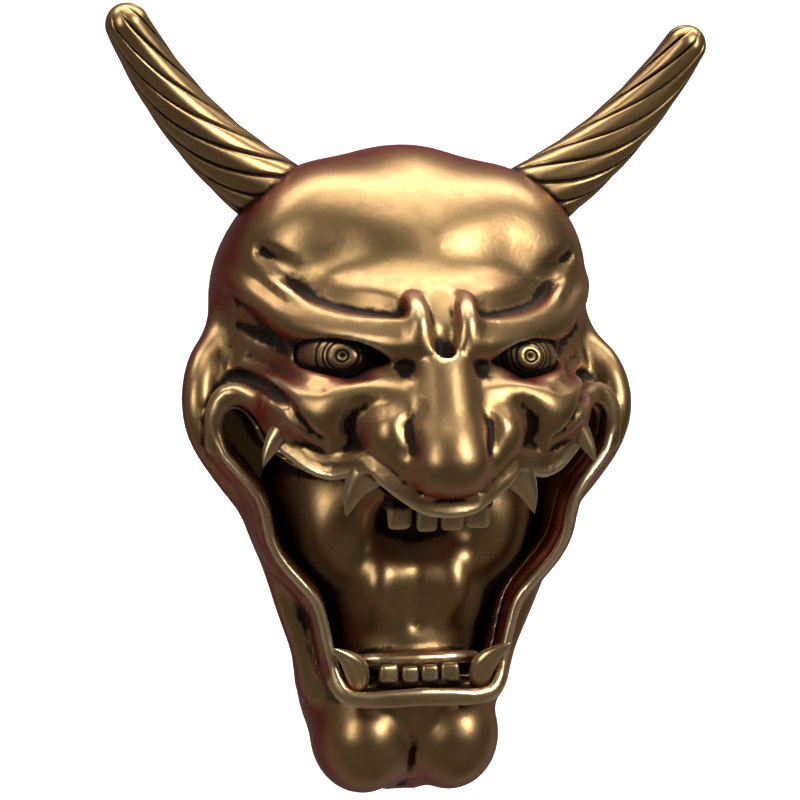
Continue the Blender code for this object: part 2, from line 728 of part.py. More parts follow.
for side in (-1, 1):
    low = (side * (BAR_SCREW_X - 5), BAR_OUT[1] + FIT_GAP, BAR_UP[0] + 1)
    high = (side * (BAR_SCREW_X + 9), BAR_OUT[1] + 12, BAR_UP[1] - 1)
    carve(shell, block("boss", low, high, CUTTERS), "UNION")
bar = block("hanger_bar", (-BAR_HALF_LENGTH, BAR_OUT[0], BAR_UP[0]),
            (BAR_HALF_LENGTH, BAR_OUT[1], BAR_UP[1]), COLLECTION, 0.4, 1)
seat(shell, bar)
screws = [bar_screw("bar_screw_right", -1), bar_screw("bar_screw_left", 1)]
rivets = [rivet("clip_rivet_lower", RIVET_UP[0]), rivet("clip_rivet_upper", RIVET_UP[1])]
clip = ring_clip()
for screw in screws:
    seat(bar, screw)
    seat(shell, screw)
for pin in rivets:
    seat(bar, pin)
    seat(clip, pin)
ring = hanging_ring()
for thing in [bar, clip, ring] + screws + rivets + fixings:
    paint(thing, STEEL)
main_body(shell)
main_body(lining)
objects = bpy.data.collections[COLLECTION].objects
for name, x, up, upright in PADS:
    paint(felt_pad(name, x, up, upright), FELT, False)
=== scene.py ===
# %% [markdown]
# # Noh mask of the horned demon
# This lesson builds the looks of a cast bronze mask round a finished CAD frame. The frame gives
# every piece its place; each cell then makes one piece the way a maker would: clay first, then
# the pieces that are let into it, then the patina, the painted shade and the rubbed edges, and at
# the end the light.

# %% Frame
import math

import bpy
import numpy as np
import openvdb
from mathutils import Matrix, Quaternion, Vector


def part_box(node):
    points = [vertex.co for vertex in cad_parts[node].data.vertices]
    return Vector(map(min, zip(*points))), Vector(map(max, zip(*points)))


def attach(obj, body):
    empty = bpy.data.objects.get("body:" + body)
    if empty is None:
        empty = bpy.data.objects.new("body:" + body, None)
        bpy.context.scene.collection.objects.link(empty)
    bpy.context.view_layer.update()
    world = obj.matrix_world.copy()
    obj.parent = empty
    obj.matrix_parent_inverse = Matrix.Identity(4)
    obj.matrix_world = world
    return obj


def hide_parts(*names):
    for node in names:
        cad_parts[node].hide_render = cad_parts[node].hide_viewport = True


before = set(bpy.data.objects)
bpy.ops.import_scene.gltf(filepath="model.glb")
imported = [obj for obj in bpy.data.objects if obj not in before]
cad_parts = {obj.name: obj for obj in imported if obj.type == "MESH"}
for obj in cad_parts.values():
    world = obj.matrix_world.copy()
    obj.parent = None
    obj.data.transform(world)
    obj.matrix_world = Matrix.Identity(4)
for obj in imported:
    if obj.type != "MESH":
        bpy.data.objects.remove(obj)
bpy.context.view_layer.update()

# %% [markdown]
# ## Measures
# All places are written as three plain millimetre numbers: x to the side, out from the plane
# through the horn roots toward the viewer, and up from the level of the pupils. That is how the
# face is thought about, so it is how it is written. One helper turns them into frame metres.

# %% Places
MM = 0.001
HOOK_UP, HOOK_OUT = 52.0, -8.0     # the hook point, which is the frame's origin
RIM_OUT = -9.0                     # flat back rim of the casting


def at(x, out, up):
    """Millimetres on the face to metres in the frame."""
    return Vector((x * MM, (HOOK_OUT - out) * MM, (up - HOOK_UP) * MM))


# %% [markdown]
# ## Small helpers
# Operators act on whatever is selected, so every step starts from an empty selection. A piece's
# place lives in its vertices, and arrays of vertices are the quickest way to shape one.

# %% Helpers
def deselect():
    if bpy.context.object and bpy.context.object.mode != "OBJECT":
        bpy.ops.object.mode_set(mode="OBJECT")
    bpy.ops.object.select_all(action="DESELECT")


def latest(name):
    """Name the object that the last operator made."""
    piece = bpy.context.active_object
    piece.name = name
    piece.data.name = name
    return piece


def places_of(piece):
    flat = np.empty(len(piece.data.vertices) * 3, np.float32)
    piece.data.vertices.foreach_get("co", flat)
    return flat.reshape(-1, 3)


def set_places(piece, places):
    piece.data.vertices.foreach_set("co", np.asarray(places, np.float32).ravel())
    piece.data.update()


def store(piece, name, values):
    """Keep one number for each vertex, for the finish to read."""
    layer = piece.data.attributes.get(name) or piece.data.attributes.new(name, "FLOAT", "POINT")
    layer.data.foreach_set("value", np.asarray(values, np.float32))


def face_out(piece):
    """All faces of a closed piece point outward."""
    deselect()
    bpy.context.view_layer.objects.active = piece
    piece.select_set(True)
    bpy.ops.object.mode_set(mode="EDIT")
    bpy.ops.mesh.select_all(action="SELECT")
    bpy.ops.mesh.normals_make_consistent(inside=False)
    bpy.ops.object.mode_set(mode="OBJECT")
    bpy.ops.object.shade_smooth()


def mirrored(piece, name):
    """A copy for the other side with its own mesh."""
    other = piece.copy()
    other.data = piece.data.copy()
    other.name = name
    other.data.name = name
    bpy.context.scene.collection.objects.link(other)
    places = places_of(other)
    places[:, 0] *= -1
    set_places(other, places)
    other.data.flip_normals()
    return other


def ringed_cylinder(name, sides, rings):
    """Cylinder whose long edges are cut into rings of vertices."""
    deselect()
    bpy.ops.mesh.primitive_cylinder_add(vertices=sides, radius=1.0, depth=1.0)
    piece = latest(name)
    bpy.ops.object.mode_set(mode="EDIT")
    bpy.ops.mesh.select_all(action="DESELECT")
    bpy.ops.object.mode_set(mode="OBJECT")
    ends = places_of(piece)
    for edge in piece.data.edges:
        a, b = edge.vertices
        edge.select = bool(abs(ends[a][2] - ends[b][2]) > 0.5)
    bpy.ops.object.mode_set(mode="EDIT")
    bpy.ops.mesh.subdivide(number_cuts=rings)
    bpy.ops.object.mode_set(mode="OBJECT")
    return piece


def joined(pieces, name):
    deselect()
    for piece in pieces:
        piece.select_set(True)
    bpy.context.view_layer.objects.active = pieces[0]
    bpy.ops.object.join()
    return latest(name)


# %% [markdown]
# ## Camera, floor and light
# The mask hangs with nothing in front of it. A long lens stands a little to the left and a
# little above. The floor runs up behind into a wall in one sweep, so no horizon shows, and large
# soft lamps give the broad highlights that a satin metal needs. A metal shows whatever stands
# round it, so a studio hides a white sweep from it behind dark flags: here the sweep's material
# is simply darker to glossy rays.

# %% Camera
AIM = at(0, 0, -18)
CAMERA_DISTANCE = 0.600
CAMERA_TURN, CAMERA_LIFT = math.radians(-11.6), math.radians(4.3)
CAMERA_ROLL = math.radians(0.63)
LENS_LENGTH, LENS_SENSOR = 80.4, 36.0
toward = Vector((math.sin(CAMERA_TURN) * math.cos(CAMERA_LIFT),
                 -math.cos(CAMERA_TURN) * math.cos(CAMERA_LIFT), math.sin(CAMERA_LIFT)))
lens = bpy.data.cameras.new("camera")
lens.lens = LENS_LENGTH
lens.sensor_width = LENS_SENSOR
camera = bpy.data.objects.new("camera", lens)
camera.location = AIM + toward * CAMERA_DISTANCE
camera.rotation_euler = ((-toward).to_track_quat("-Z", "Y")
                         @ Quaternion((0, 0, 1), CAMERA_ROLL)).to_euler()
bpy.context.scene.collection.objects.link(camera)
bpy.context.scene.camera = camera

# %% Floor sweep
FLOOR_UP = -0.36
FLOOR_LENGTH, FLOOR_WIDTH, FLOOR_FRONT = 5.0, 6.0, -2.2
BEND_START, BEND_RADIUS = 3.0, 0.7
deselect()
bpy.ops.mesh.primitive_plane_add(size=1.0, location=(0, 0, 0))
floor = latest("floor")
bpy.ops.object.mode_set(mode="EDIT")
bpy.ops.mesh.select_all(action="SELECT")
bpy.ops.mesh.subdivide(number_cuts=40)
bpy.ops.object.mode_set(mode="OBJECT")
sheet = places_of(floor)
run = (sheet[:, 1] + 0.5) * FLOOR_LENGTH
angle = np.clip((run - BEND_START) / BEND_RADIUS, 0, math.pi / 2)
rise = np.maximum(run - BEND_START - BEND_RADIUS * math.pi / 2, 0)
sheet[:, 0] *= FLOOR_WIDTH
sheet[:, 1] = np.minimum(run, BEND_START) + FLOOR_FRONT + BEND_RADIUS * np.sin(angle)
sheet[:, 2] = FLOOR_UP + BEND_RADIUS * (1 - np.cos(angle)) + rise
set_places(floor, sheet)
deselect()
floor.select_set(True)
bpy.ops.object.shade_smooth()
pale = bpy.data.materials.new("pale_floor")
pale.use_nodes = True
nodes, links = pale.node_tree.nodes, pale.node_tree.links
paper = nodes["Principled BSDF"]
paper.inputs["Base Color"].default_value = (0.86, 0.86, 0.86, 1)
paper.inputs["Roughness"].default_value = 0.8
flag = nodes.new("ShaderNodeBsdfDiffuse")
flag.inputs["Color"].default_value = (0.10, 0.09, 0.085, 1)
ray = nodes.new("ShaderNodeLightPath")
either = nodes.new("ShaderNodeMixShader")
links.new(ray.outputs["Is Glossy Ray"], either.inputs["Fac"])
links.new(paper.outputs[0], either.inputs[1])
links.new(flag.outputs[0], either.inputs[2])
links.new(either.outputs[0], nodes["Material Output"].inputs["Surface"])
floor.data.materials.append(pale)


# %% Light
def soft_lamp(name, place, size, power, aim=AIM):
    lamp = bpy.data.lights.new(name, "AREA")
    lamp.shape = "RECTANGLE"
    lamp.size, lamp.size_y = size
    lamp.energy = power
    holder = bpy.data.objects.new(name, lamp)
    holder.location = place
    holder.rotation_euler = (aim - Vector(place)).to_track_quat("-Z", "Y").to_euler()
    bpy.context.scene.collection.objects.link(holder)


soft_lamp("key_right", (0.55, -0.75, 0.42), (0.30, 0.55), 9.5)
soft_lamp("fill_left", (-0.75, -0.70, 0.30), (0.25, 0.60), 3.6)
soft_lamp("top", (0.0, -0.35, 0.95), (0.6, 0.35), 2.6)
soft_lamp("backdrop", (0.0, 0.2, 1.3), (2.4, 0.8), 55.0, aim=Vector((0, 1.4, 0.1)))
world = bpy.data.worlds.new("studio")
world.use_nodes = True
sky = world.node_tree.nodes["Background"]
sky.inputs["Color"].default_value = (1.0, 0.99, 0.97, 1)
sky.inputs["Strength"].default_value = 0.08
bpy.context.scene.world = world
bpy.context.scene.view_settings.view_transform = "Standard"


# %% [markdown]
# ## Clay
# The face was modelled in clay before it was cast: big lumps pressed together, rolls laid on for
# brows and lips, grooves drawn with a tool. Primitives joined edge to edge would keep hard seams
# between them, so here the clay is a grid of distances to the surface. Pressing a lump in keeps
# the smaller distance, cutting keeps the larger, and a soft blend rounds the seam. The face is
# the same on both sides, so only the half with positive x is kept. One pass over the grid then
# gives a closed skin.

# %% Clay tools
class Clay:
    """Half a solid held as signed distances in millimetres, negative inside."""
    LOW = np.array([0.0, -14.0, -154.0])
    HIGH = np.array([82.0, 96.0, 74.0])

    def __init__(self, step):
        self.step = step
        self.axes = [np.arange(a, b + step, step) for a, b in zip(self.LOW, self.HIGH)]
        self.field = np.full([len(a) for a in self.axes], 20.0, np.float32)

    def window(self, low, high):
        """The part of the grid between two corners, and its three coordinates."""
        cut = []
        for i in range(3):
            a = int(max(0, math.floor((low[i] - self.LOW[i]) / self.step)))
            b = int(min(len(self.axes[i]), math.ceil((high[i] - self.LOW[i]) / self.step) + 1))
            cut.append(slice(a, max(a, b)))
        x = self.axes[0][cut[0]][:, None, None].astype(np.float32)
        out = self.axes[1][cut[1]][None, :, None].astype(np.float32)
        up = self.axes[2][cut[2]][None, None, :].astype(np.float32)
        return tuple(cut), x, out, up

    def everywhere(self):
        return self.window(self.LOW, self.HIGH)

    def press(self, cut, distance, soft, carve=False):
        """Join or carve a shape, the seam rounded over the soft width."""
        sign = -1.0 if carve else 1.0
        field = self.field[cut] * sign
        blend = 0.0
        if soft > 0:
            blend = np.maximum(soft - np.abs(field - distance), 0) ** 2 / (4 * soft)
        self.field[cut] = sign * (np.minimum(field, distance) - blend)

    def lump(self, centre, radii, soft=4.0, turn=0.0, carve=False):
        """Ellipsoid, turned about the vertical by degrees."""
        reach = max(radii) + soft + 5 if max(radii) < 30 else 200
        centre = np.array(centre, float)
        cut, x, out, up = self.window(centre - reach, centre + reach)
        x, out, up = x - centre[0], out - centre[1], up - centre[2]
        angle = math.radians(turn)
        x, out = (x * math.cos(angle) - out * math.sin(angle),
                  x * math.sin(angle) + out * math.cos(angle))
        a, b, e = radii
        near = np.sqrt((x / a) ** 2 + (out / b) ** 2 + (up / e) ** 2)
        slope = np.sqrt((x / a ** 2) ** 2 + (out / b ** 2) ** 2 + (up / e ** 2) ** 2) + 1e-9
        self.press(cut, np.maximum(near * (near - 1.0) / slope, -min(radii)), soft, carve)

    def stroke(self, points, radii, soft=3.0, carve=False):
        """Round roll along a smooth line, one radius for each point."""
        line = smooth_line(np.array(points, float), 6)
        sizes = smooth_line(np.array(radii, float)[:, None], 6)[:, 0]
        grow = sizes.max() + soft + 4
        cut, _, _, _ = self.window(line.min(0) - grow, line.max(0) + grow)
        shape = [s.stop - s.start for s in cut]
        if min(shape) <= 0:
            return
        best = np.full(shape, 99.0, np.float32)
        for a, b, ra, rb in zip(line[:-1], line[1:], sizes[:-1], sizes[1:]):
            reach = max(ra, rb) + soft + 4
            part, x, out, up = self.window(np.minimum(a, b) - reach, np.maximum(a, b) + reach)
            here = tuple(slice(p.start - c.start, p.stop - c.start) for p, c in zip(part, cut))
            if any(p.stop <= p.start for p in part):
                continue
            step = b - a
            x, out, up = x - a[0], out - a[1], up - a[2]
            t = np.clip((x * step[0] + out * step[1] + up * step[2]) / (step @ step + 1e-9), 0, 1)
            away = np.sqrt((x - t * step[0]) ** 2 + (out - t * step[1]) ** 2
                           + (up - t * step[2]) ** 2) - (ra + t * (rb - ra))
            best[here] = np.minimum(best[here], away)
        self.press(cut, best, soft, carve)

    def front(self, x, up):
        """How far out the clay stands at that x and height."""
        i, k = x / self.step, (up - self.LOW[2]) / self.step
        a, c = min(int(i), self.field.shape[0] - 2), int(k)
        near, far = self.field[a, :, c:c + 2], self.field[a + 1, :, c:c + 2]
        pair = near + (far - near) * (i - a)
        column = pair[:, 0] + (pair[:, 1] - pair[:, 0]) * (k - c)
        inside = np.nonzero(column < 0)[0]
        if len(inside) == 0:
            return 0.0
        j = min(inside[-1], len(column) - 2)
        return self.axes[1][j] + self.step * column[j] / (column[j] - column[j + 1])

    def draped(self, spots, sink=0.0):
        """Points laid on the clay's front at (x, up) spots, sunk below it by sink."""
        return [(x, self.front(x, up) - sink, up) for x, up in spots]


def smooth_line(points, parts):
    """Smooth curve through every point."""
    if len(points) < 3:
        t = np.linspace(0, 1, parts * 2 + 1)[:, None]
        return points[0] + (points[-1] - points[0]) * t
    ends = np.vstack([2 * points[0] - points[1], points, 2 * points[-1] - points[-2]])
    line = []
    for p0, p1, p2, p3 in zip(ends[:-3], ends[1:-2], ends[2:-1], ends[3:]):
        for k in range(parts):
            t = k / parts
            line.append(0.5 * (2 * p1 + (p2 - p0) * t + (2 * p0 - 5 * p1 + 4 * p2 - p3) * t * t
                               + (3 * p1 - p0 - 3 * p2 + p3) * t ** 3))
    line.append(points[-1])
    return np.array(line)


def outline_distance(clay, half_outline):
    """Distance to the mouth's edge seen from the front, negative inside it."""
    cut, x, out, up = clay.everywhere()
    half = smooth_line(np.array(half_outline, float), 4)
    loop = np.vstack([half, (half * [-1, 1])[::-1]])
    px, pu = np.broadcast_arrays(x[:, 0, :], up[:, 0, :])
    best = np.full(px.shape, 1e9)
    inside = np.zeros(px.shape, bool)
    for a, b in zip(np.roll(loop, 1, 0), loop):
        step = b - a
        if step @ step < 1e-12:
            continue
        t = np.clip(((px - a[0]) * step[0] + (pu - a[1]) * step[1]) / (step @ step), 0, 1)
        best = np.minimum(best, (px - a[0] - t * step[0]) ** 2 + (pu - a[1] - t * step[1]) ** 2)
        if a[1] != b[1]:
            crossing = step[0] * (pu - a[1]) / step[1] + a[0]
            inside ^= ((a[1] > pu) != (b[1] > pu)) & (px < crossing)
    away = np.sqrt(best)
    flat = np.where(inside, -away, away)[:, None, :].astype(np.float32)
    return np.broadcast_to(flat, clay.field.shape)


def skinned(name, clay):
    """Closed skin of a half solid and its mirror, as one object."""
    field = clay.field
    grid = openvdb.FloatGrid(20.0)
    grid.copyFromArray(np.ascontiguousarray(np.concatenate([field[:0:-1], field], axis=0)))
    points, triangles, quads = grid.convertToPolygons(0.0, 0.0)
    middle = field.shape[0] - 1
    x = (points[:, 0] - middle) * clay.step
    out = clay.LOW[1] + points[:, 1] * clay.step
    up = clay.LOW[2] + points[:, 2] * clay.step
    places = np.stack([x * MM, (HOOK_OUT - out) * MM, (up - HOOK_UP) * MM], 1)
    mesh = bpy.data.meshes.new(name)
    mesh.from_pydata(places.tolist(), [], quads.tolist() + triangles.tolist())
    mesh.update()
    piece = bpy.data.objects.new(name, mesh)
    bpy.context.scene.collection.objects.link(piece)
    face_out(piece)
    print(name, len(mesh.polygons), "faces")
    return piece


CLAY_STEP = 1.05
EYE = ((25.5, 40.5, -1.2), (15.5, 16.5, 10.2), 25.0)    # centre, radii, turn of the left eye

# %% [markdown]
# ## The head in clay
# First the big masses: skull, middle of the face, jaws, then forehead lobes, nose, cheeks and
# the long roll that runs round each corner of the mouth and down the jaw. The hollow behind
# follows these masses, so a copy of the grid is kept before any fine work starts.

# %% Masses
clay = Clay(CLAY_STEP)
clay.lump((0, -4, 16), (64, 42, 50), 0)
clay.lump((0, 0, -18), (66, 52, 44), 10)
clay.lump((0, 2, -62), (48, 28, 40), 10)
clay.lump((0, 2, -108), (35, 29, 42), 8)
clay.lump((0, 6, 41.5), (21, 23, 21), 12)
clay.lump((17, 18, 31), (15, 20, 20), 15)
clay.lump((31, 11, 38), (15, 18, 18), 15)
clay.lump((0, 18, 26), (18, 25, 20), 15)
clay.lump((39, 12, 28), (16, 18, 18), 14)
clay.lump((0, 26, 9), (44, 33, 21), 8)
clay.stroke([(0, 50, 11), (0, 55.5, 4), (0, 60.5, -4), (0, 65, -14), (0, 69.5, -24)],
            [7, 9, 10.4, 11.2, 12], 6)
clay.lump((0, 75, -31), (12.2, 11, 10.6), 5)
clay.lump((35, 38, -16), (18, 25, 14.5), 8)
clay.lump((30, 45.5, -18), (14, 19.5, 11.5), 6)
clay.lump((0, 46, -34), (34, 27, 12), 6)
clay.lump((42, 34, -24), (14, 16, 8), 6)
JAW_ROLL = [(57, -2, 14), (62.5, 6, 2), (67, 14, -6), (69, 19, -16), (67, 20, -27), (59.5, 20, -39),
            (51, 19, -50), (45.5, 18, -60), (42, 16, -72), (38, 14, -84), (33, 12, -98), (30, 10, -110)]
clay.stroke(JAW_ROLL, [3, 5, 5.6, 5.6, 5.6, 5.6, 5.6, 5.5, 5.5, 5.5, 5.5, 5.5], 6)
masses = clay.field.copy()
clay.lump((14.5, 13, -128), (17, 21, 19), 3)

# %% [markdown]
# ## Brows
# Each brow is a heavy roll that hangs over the eye. A trough is drawn above it first, then the
# roll is laid in with a crisp upper edge, and its inner end turns up beside the deep cleft over
# the nose.

# %% Brows
clay.stroke([(50, 26, 31), (44.5, 34, 27), (38.5, 42, 20.5), (30, 50.5, 16.5), (20, 58, 15),
             (13, 61.5, 15), (11.5, 60, 19)], [0.2, 1.2, 3.4, 4.6, 4.6, 3.6, 1.8], 5.5, carve=True)
clay.stroke([(60, 2, 24), (57, 14, 21.5), (53, 23, 18), (49, 29, 14.5), (43, 37, 10), (34, 45.5, 6.8),
             (23, 54, 4.6), (14, 60, 3.6), (8, 63, 3.6)],
            [2, 3.6, 4.8, 5.3, 5.6, 5.7, 5.7, 5.4, 4.6], 3)
clay.stroke([(57, 9, 27), (50, 24.5, 23.5), (45, 34, 19.5), (38, 42.5, 13.6), (29, 50.5, 10.4),
             (19, 57.5, 9.4), (11, 62.3, 9.4)], [0.8, 1.4, 1.9, 2.0, 2.0, 2.0, 2.0], 3)
clay.stroke([(7.4, 63.5, 3), (7.4, 64, 8.5), (7.6, 61, 13), (8.0, 56.5, 16)], [3.8, 3.6, 3.4, 3.2], 2.5)
clay.stroke([(0, 66, -2.5), (0, 67, 5), (0, 66, 12), (0, 60.5, 19), (0, 53, 26)],
            [2.2, 3.6, 3.8, 3.2, 1.4], 1.6, carve=True)

# %% [markdown]
# ## Eyes, lids and the folds round them
# The socket is scooped out, the lower lid is a thin roll along its lower edge, and the folds
# under and beside it are shallow cuts laid on the clay's own surface.

# %% Eye sockets
clay.lump((27, 50, -1.5), (16, 11, 6.8), 2, turn=35, carve=True)
clay.stroke([(43.5, 33.5, 5), (40.5, 39.5, -0.5), (36, 45, -4), (30, 50, -6.8), (22, 54.8, -8.4),
             (15, 58, -7.5), (11, 59.5, -4)], [1.3, 1.6, 1.8, 1.8, 1.8, 1.6, 1.4], 1.8)
clay.lump((15, 56.5, -9), (9, 8.5, 6), 5)
clay.stroke(clay.draped([(54, -2), (48, -4.5), (42, -7.5), (36, -9.5)], -0.4),
            [0.3, 0.8, 0.8, 0.3], 4, carve=True)
clay.stroke(clay.draped([(57, 7.5), (52, 5.2), (47.5, 3.6)], -0.4), [0.4, 0.9, 0.7], 3, carve=True)
clay.stroke(clay.draped([(57.5, 15), (54, 12), (50, 8.5)], -0.4), [0.3, 0.8, 0.5], 3, carve=True)

# %% [markdown]
# ## Nose
# The wings of the nose sit in a deep crescent cut into the cheek. A soft roll raises the cheek
# round the cut, the cut goes in sharp, and the wings are pressed in last so that a dark gap is
# left all round them.

# %% Nose wings
clay.stroke([(9, 66.5, -12), (15, 66, -11), (20, 65, -10.6), (26, 63, -11.2), (32, 60.2, -14.8),
             (34, 58.2, -20.5), (31.5, 57.5, -26.5)], [2.4, 2.5, 2.7, 3.1, 3.8, 4.2, 3.4], 5)
clay.stroke([(14, 69, -15.5), (19, 69.3, -14.6), (24.5, 68.5, -16), (27.6, 67, -20.5), (27.0, 65.5, -25),
             (23.8, 66, -28.3)], [1.2, 2.4, 3.4, 4.0, 3.5, 1.7], 0.8, carve=True)
clay.lump((15.5, 65, -23), (9.2, 10, 9.4), 6)
clay.stroke([(16.5, 66.5, -25), (11.5, 71, -31.5), (6, 75, -36)], [6.2, 5.2, 4.6], 2.5)
clay.stroke([(10.5, 75, -14), (13, 74.5, -20), (12, 78, -27)], [0.5, 0.8, 0.5], 4, carve=True)
clay.lump((7.5, 73, -39.8), (3.2, 3.2, 2.0), 1.5, carve=True)

# %% [markdown]
# ## Mouth
# The open mouth is cut straight through along its outline. A furrow follows the upper lip, and
# the lip itself is a flat band with a thin bead on each edge. Down the sides stacked rolls carry
# the wall of the cheek back from the lip and end 22 mm behind it, short of the back rim, and the
# same outline is cut again to keep the way in clear.

# %% Mouth lines
OPENING = [(0, -47.5), (7, -46.3), (13, -42.8), (19, -38.3), (22.5, -35), (27, -36), (33, -37.5),
           (38.5, -36), (43, -33), (48, -28.5), (51, -23), (54, -19), (58, -17), (61.3, -18),
           (63, -21.5), (62.5, -27), (60.5, -32), (56, -37.5), (52, -42.5), (49, -48), (47.7, -54),
           (46, -60), (43, -65), (39, -70), (35, -74.5), (31.8, -79.5), (29.8, -86), (28.6, -92),
           (27.2, -99), (25.4, -104), (22.4, -107.6), (17, -108), (9, -107), (0, -106.5)]
LIP_OUTER = [(66, 26, -26), (66.5, 27, -18), (63.5, 28, -12.5), (59, 30, -11), (55, 34, -12),
             (50, 40, -15.5), (46, 44.5, -21), (42, 49.5, -25.5), (38, 53.5, -28.8), (32, 58, -29.8),
             (26, 62.5, -28.5), (21.5, 66.5, -26)]
LIP_MIDDLE = [(65.5, 28, -30), (65.5, 28.5, -20), (62.5, 29.5, -14.5), (58.5, 31, -13), (54, 36, -15),
              (49.5, 41.5, -19.5), (46, 46, -25), (41, 51.5, -29), (35, 56.5, -32), (28.5, 61.5, -31.5),
              (23, 66.5, -31), (17, 70, -36), (10, 72.5, -41), (0, 73.5, -43)]
LIP_INNER = [(64.5, 29, -26), (64, 30, -20), (61.5, 30.5, -16.5), (58, 32, -15.5), (54, 37, -17.5),
             (51, 43, -21.5), (48, 48, -27), (43, 52.5, -31.5), (38.5, 56.5, -34.5), (33, 60, -36),
             (27, 64.5, -34.5), (22.5, 68.5, -33.5), (19, 70.5, -37), (13, 72.5, -41.5), (7, 74.5, -45),
             (0, 75.3, -46)]
SIDE_LIP = [(64.5, 29, -25), (62.5, 31, -32), (58, 33, -37.5), (54, 34.5, -42), (51, 35, -47),
            (49.3, 35, -53), (48, 35, -59), (45, 35, -65), (41, 35, -70), (37, 35, -74.5),
            (33.5, 34.5, -79), (31.2, 34, -85), (29.6, 34, -92), (27.9, 34.5, -99), (26.3, 36, -104.5),
            (22.8, 38, -108.6), (16.5, 39, -109.4), (9, 39.5, -108.8), (0, 40, -108.3)]
mouth = outline_distance(clay, OPENING)
whole, _, out_grid, _ = clay.everywhere()

# %% Mouth
clay.press(whole, mouth, 1.5, carve=True)
furrow = [(67, 25, -34), (69, 27, -26), (69, 28, -16.5), (65, 29.5, -9.5)]
furrow += clay.draped([(58.5, -8), (52.5, -9.4), (47.5, -13.4), (43.8, -18.8), (40, -23.2), (36, -25.4)])
clay.stroke(furrow, [1.6, 2, 2.2, 2.3, 2.3, 2.3, 2.2, 2.0, 1.7, 1.2], 1.2, carve=True)
clay.stroke([(57, 29, -46), (52.5, 28.5, -56), (47.5, 28, -67), (42, 28, -77), (38.5, 28, -88),
             (36.5, 28, -98)], [1.6, 2.6, 3, 3.2, 3.2, 2.4], 2.2, carve=True)
clay.stroke(LIP_MIDDLE, [2.6] * len(LIP_MIDDLE), 1.5)
WALL_ROLLS = ((4, 2.9, 2), (9, 3.6, 4), (15, 3.8, 4), (22, 3.8, 4))    # setback, radius, soft
for setback, radius, soft in WALL_ROLLS:
    wall = [(x + 0.7, out - setback, up) for x, out, up in SIDE_LIP[:-3]]
    taper = [radius * (1.0 if up > -82 else 0.72) for x, out, up in wall]
    clay.stroke(wall, taper, soft)
clay.field = np.maximum(clay.field, -np.maximum(mouth, out_grid - 26.0)).astype(np.float32)
clay.stroke(LIP_OUTER, [1.1] * len(LIP_OUTER), 0.8)
clay.stroke(LIP_INNER, [1.6] * len(LIP_INNER), 0.9)
clay.stroke(SIDE_LIP, [1.7] * len(SIDE_LIP), 1.0)

# %% Chin
clay.stroke([(33, 34, -112.5), (24, 35, -116.8), (10, 35.5, -116.5), (0, 35, -116.5)],
            [1.8, 2.2, 2.2, 2.2], 1.5, carve=True)
clay.stroke([(27.8, 34.5, -105), (24, 37, -109.8), (16, 38, -110.9), (0, 39, -110.6)],
            [2.0, 2.2, 2.3, 2.3], 1.2)
clay.stroke([(9, 37, -115.5), (4, 36.5, -119.5), (0, 36, -122)], [1.2, 1.4, 1.2], 1, carve=True)
clay.stroke([(0, 36, -120), (0, 34, -130), (0, 25, -141), (0, 8, -150)], [1.2, 1.8, 2.4, 3], 1.5,
            carve=True)
modelled = clay.field.copy()

# %% [markdown]
# ## Hollowing
# A bronze mask is a shell. The inside follows the masses a wall's thickness behind them, the
# back is cut flat at the rim, and the pieces let in from behind get their room: the eyes, the
# horn nuts, and two bosses that the hanger bar is screwed to.

# %% Hollow shell
CAST_WALL = 4.6
cavity = np.maximum(masses + CAST_WALL, clay.field + 2.6)
clay.field = np.maximum(clay.field, -cavity)
clay.lump(EYE[0], [r + 0.25 for r in EYE[1]], 0, turn=EYE[2], carve=True)
nut_low, nut_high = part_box("horn_nut_left")
middle = (nut_low + nut_high) / 2
nut_place = (middle.x / MM, HOOK_OUT - middle.y / MM, middle.z / MM + HOOK_UP)
clay.lump(nut_place, (9, 9, 9), 0, carve=True)
BOSS_LOW, BOSS_HIGH = (41.0, -2.2, 23.0), (55.0, 12.0, 33.0)
cut, x, out, up = clay.window(np.array(BOSS_LOW) - 4, np.array(BOSS_HIGH) + 4)
half = (np.array(BOSS_HIGH) - np.array(BOSS_LOW)) / 2
centre = (np.array(BOSS_HIGH) + np.array(BOSS_LOW)) / 2
boss = np.maximum(np.maximum(abs(x - centre[0]) - half[0], abs(out - centre[1]) - half[1]),
                  abs(up - centre[2]) - half[2])
clay.press(cut, boss, 1.5)
clay.field = np.maximum(clay.field, RIM_OUT - out_grid).astype(np.float32)
face = skinned("face_cast", clay)

# %% [markdown]
# The inside of a casting is plain, so its skin can be made of fewer and larger faces. The inner
# faces are selected by how close they lie to the hollow and decimated.

# %% Fewer faces inside
def sampled(field, places):
    """Read a half grid at frame places, blending between its points."""
    spots = np.stack([np.abs(places[:, 0]) / MM, HOOK_OUT - places[:, 1] / MM,
                      places[:, 2] / MM + HOOK_UP], 1)
    grid = (spots - Clay.LOW) / CLAY_STEP
    grid = np.clip(grid, 0, np.array(field.shape) - 1.001)
    base = grid.astype(int)
    part = grid - base
    total = np.zeros(len(places), np.float32)
    for corner in range(8):
        offset = np.array([corner & 1, corner >> 1 & 1, corner >> 2 & 1])
        weight = np.prod(np.where(offset, part, 1 - part), axis=1)
        i, j, k = (base + offset).T
        total += weight * field[i, j, k]
    return total


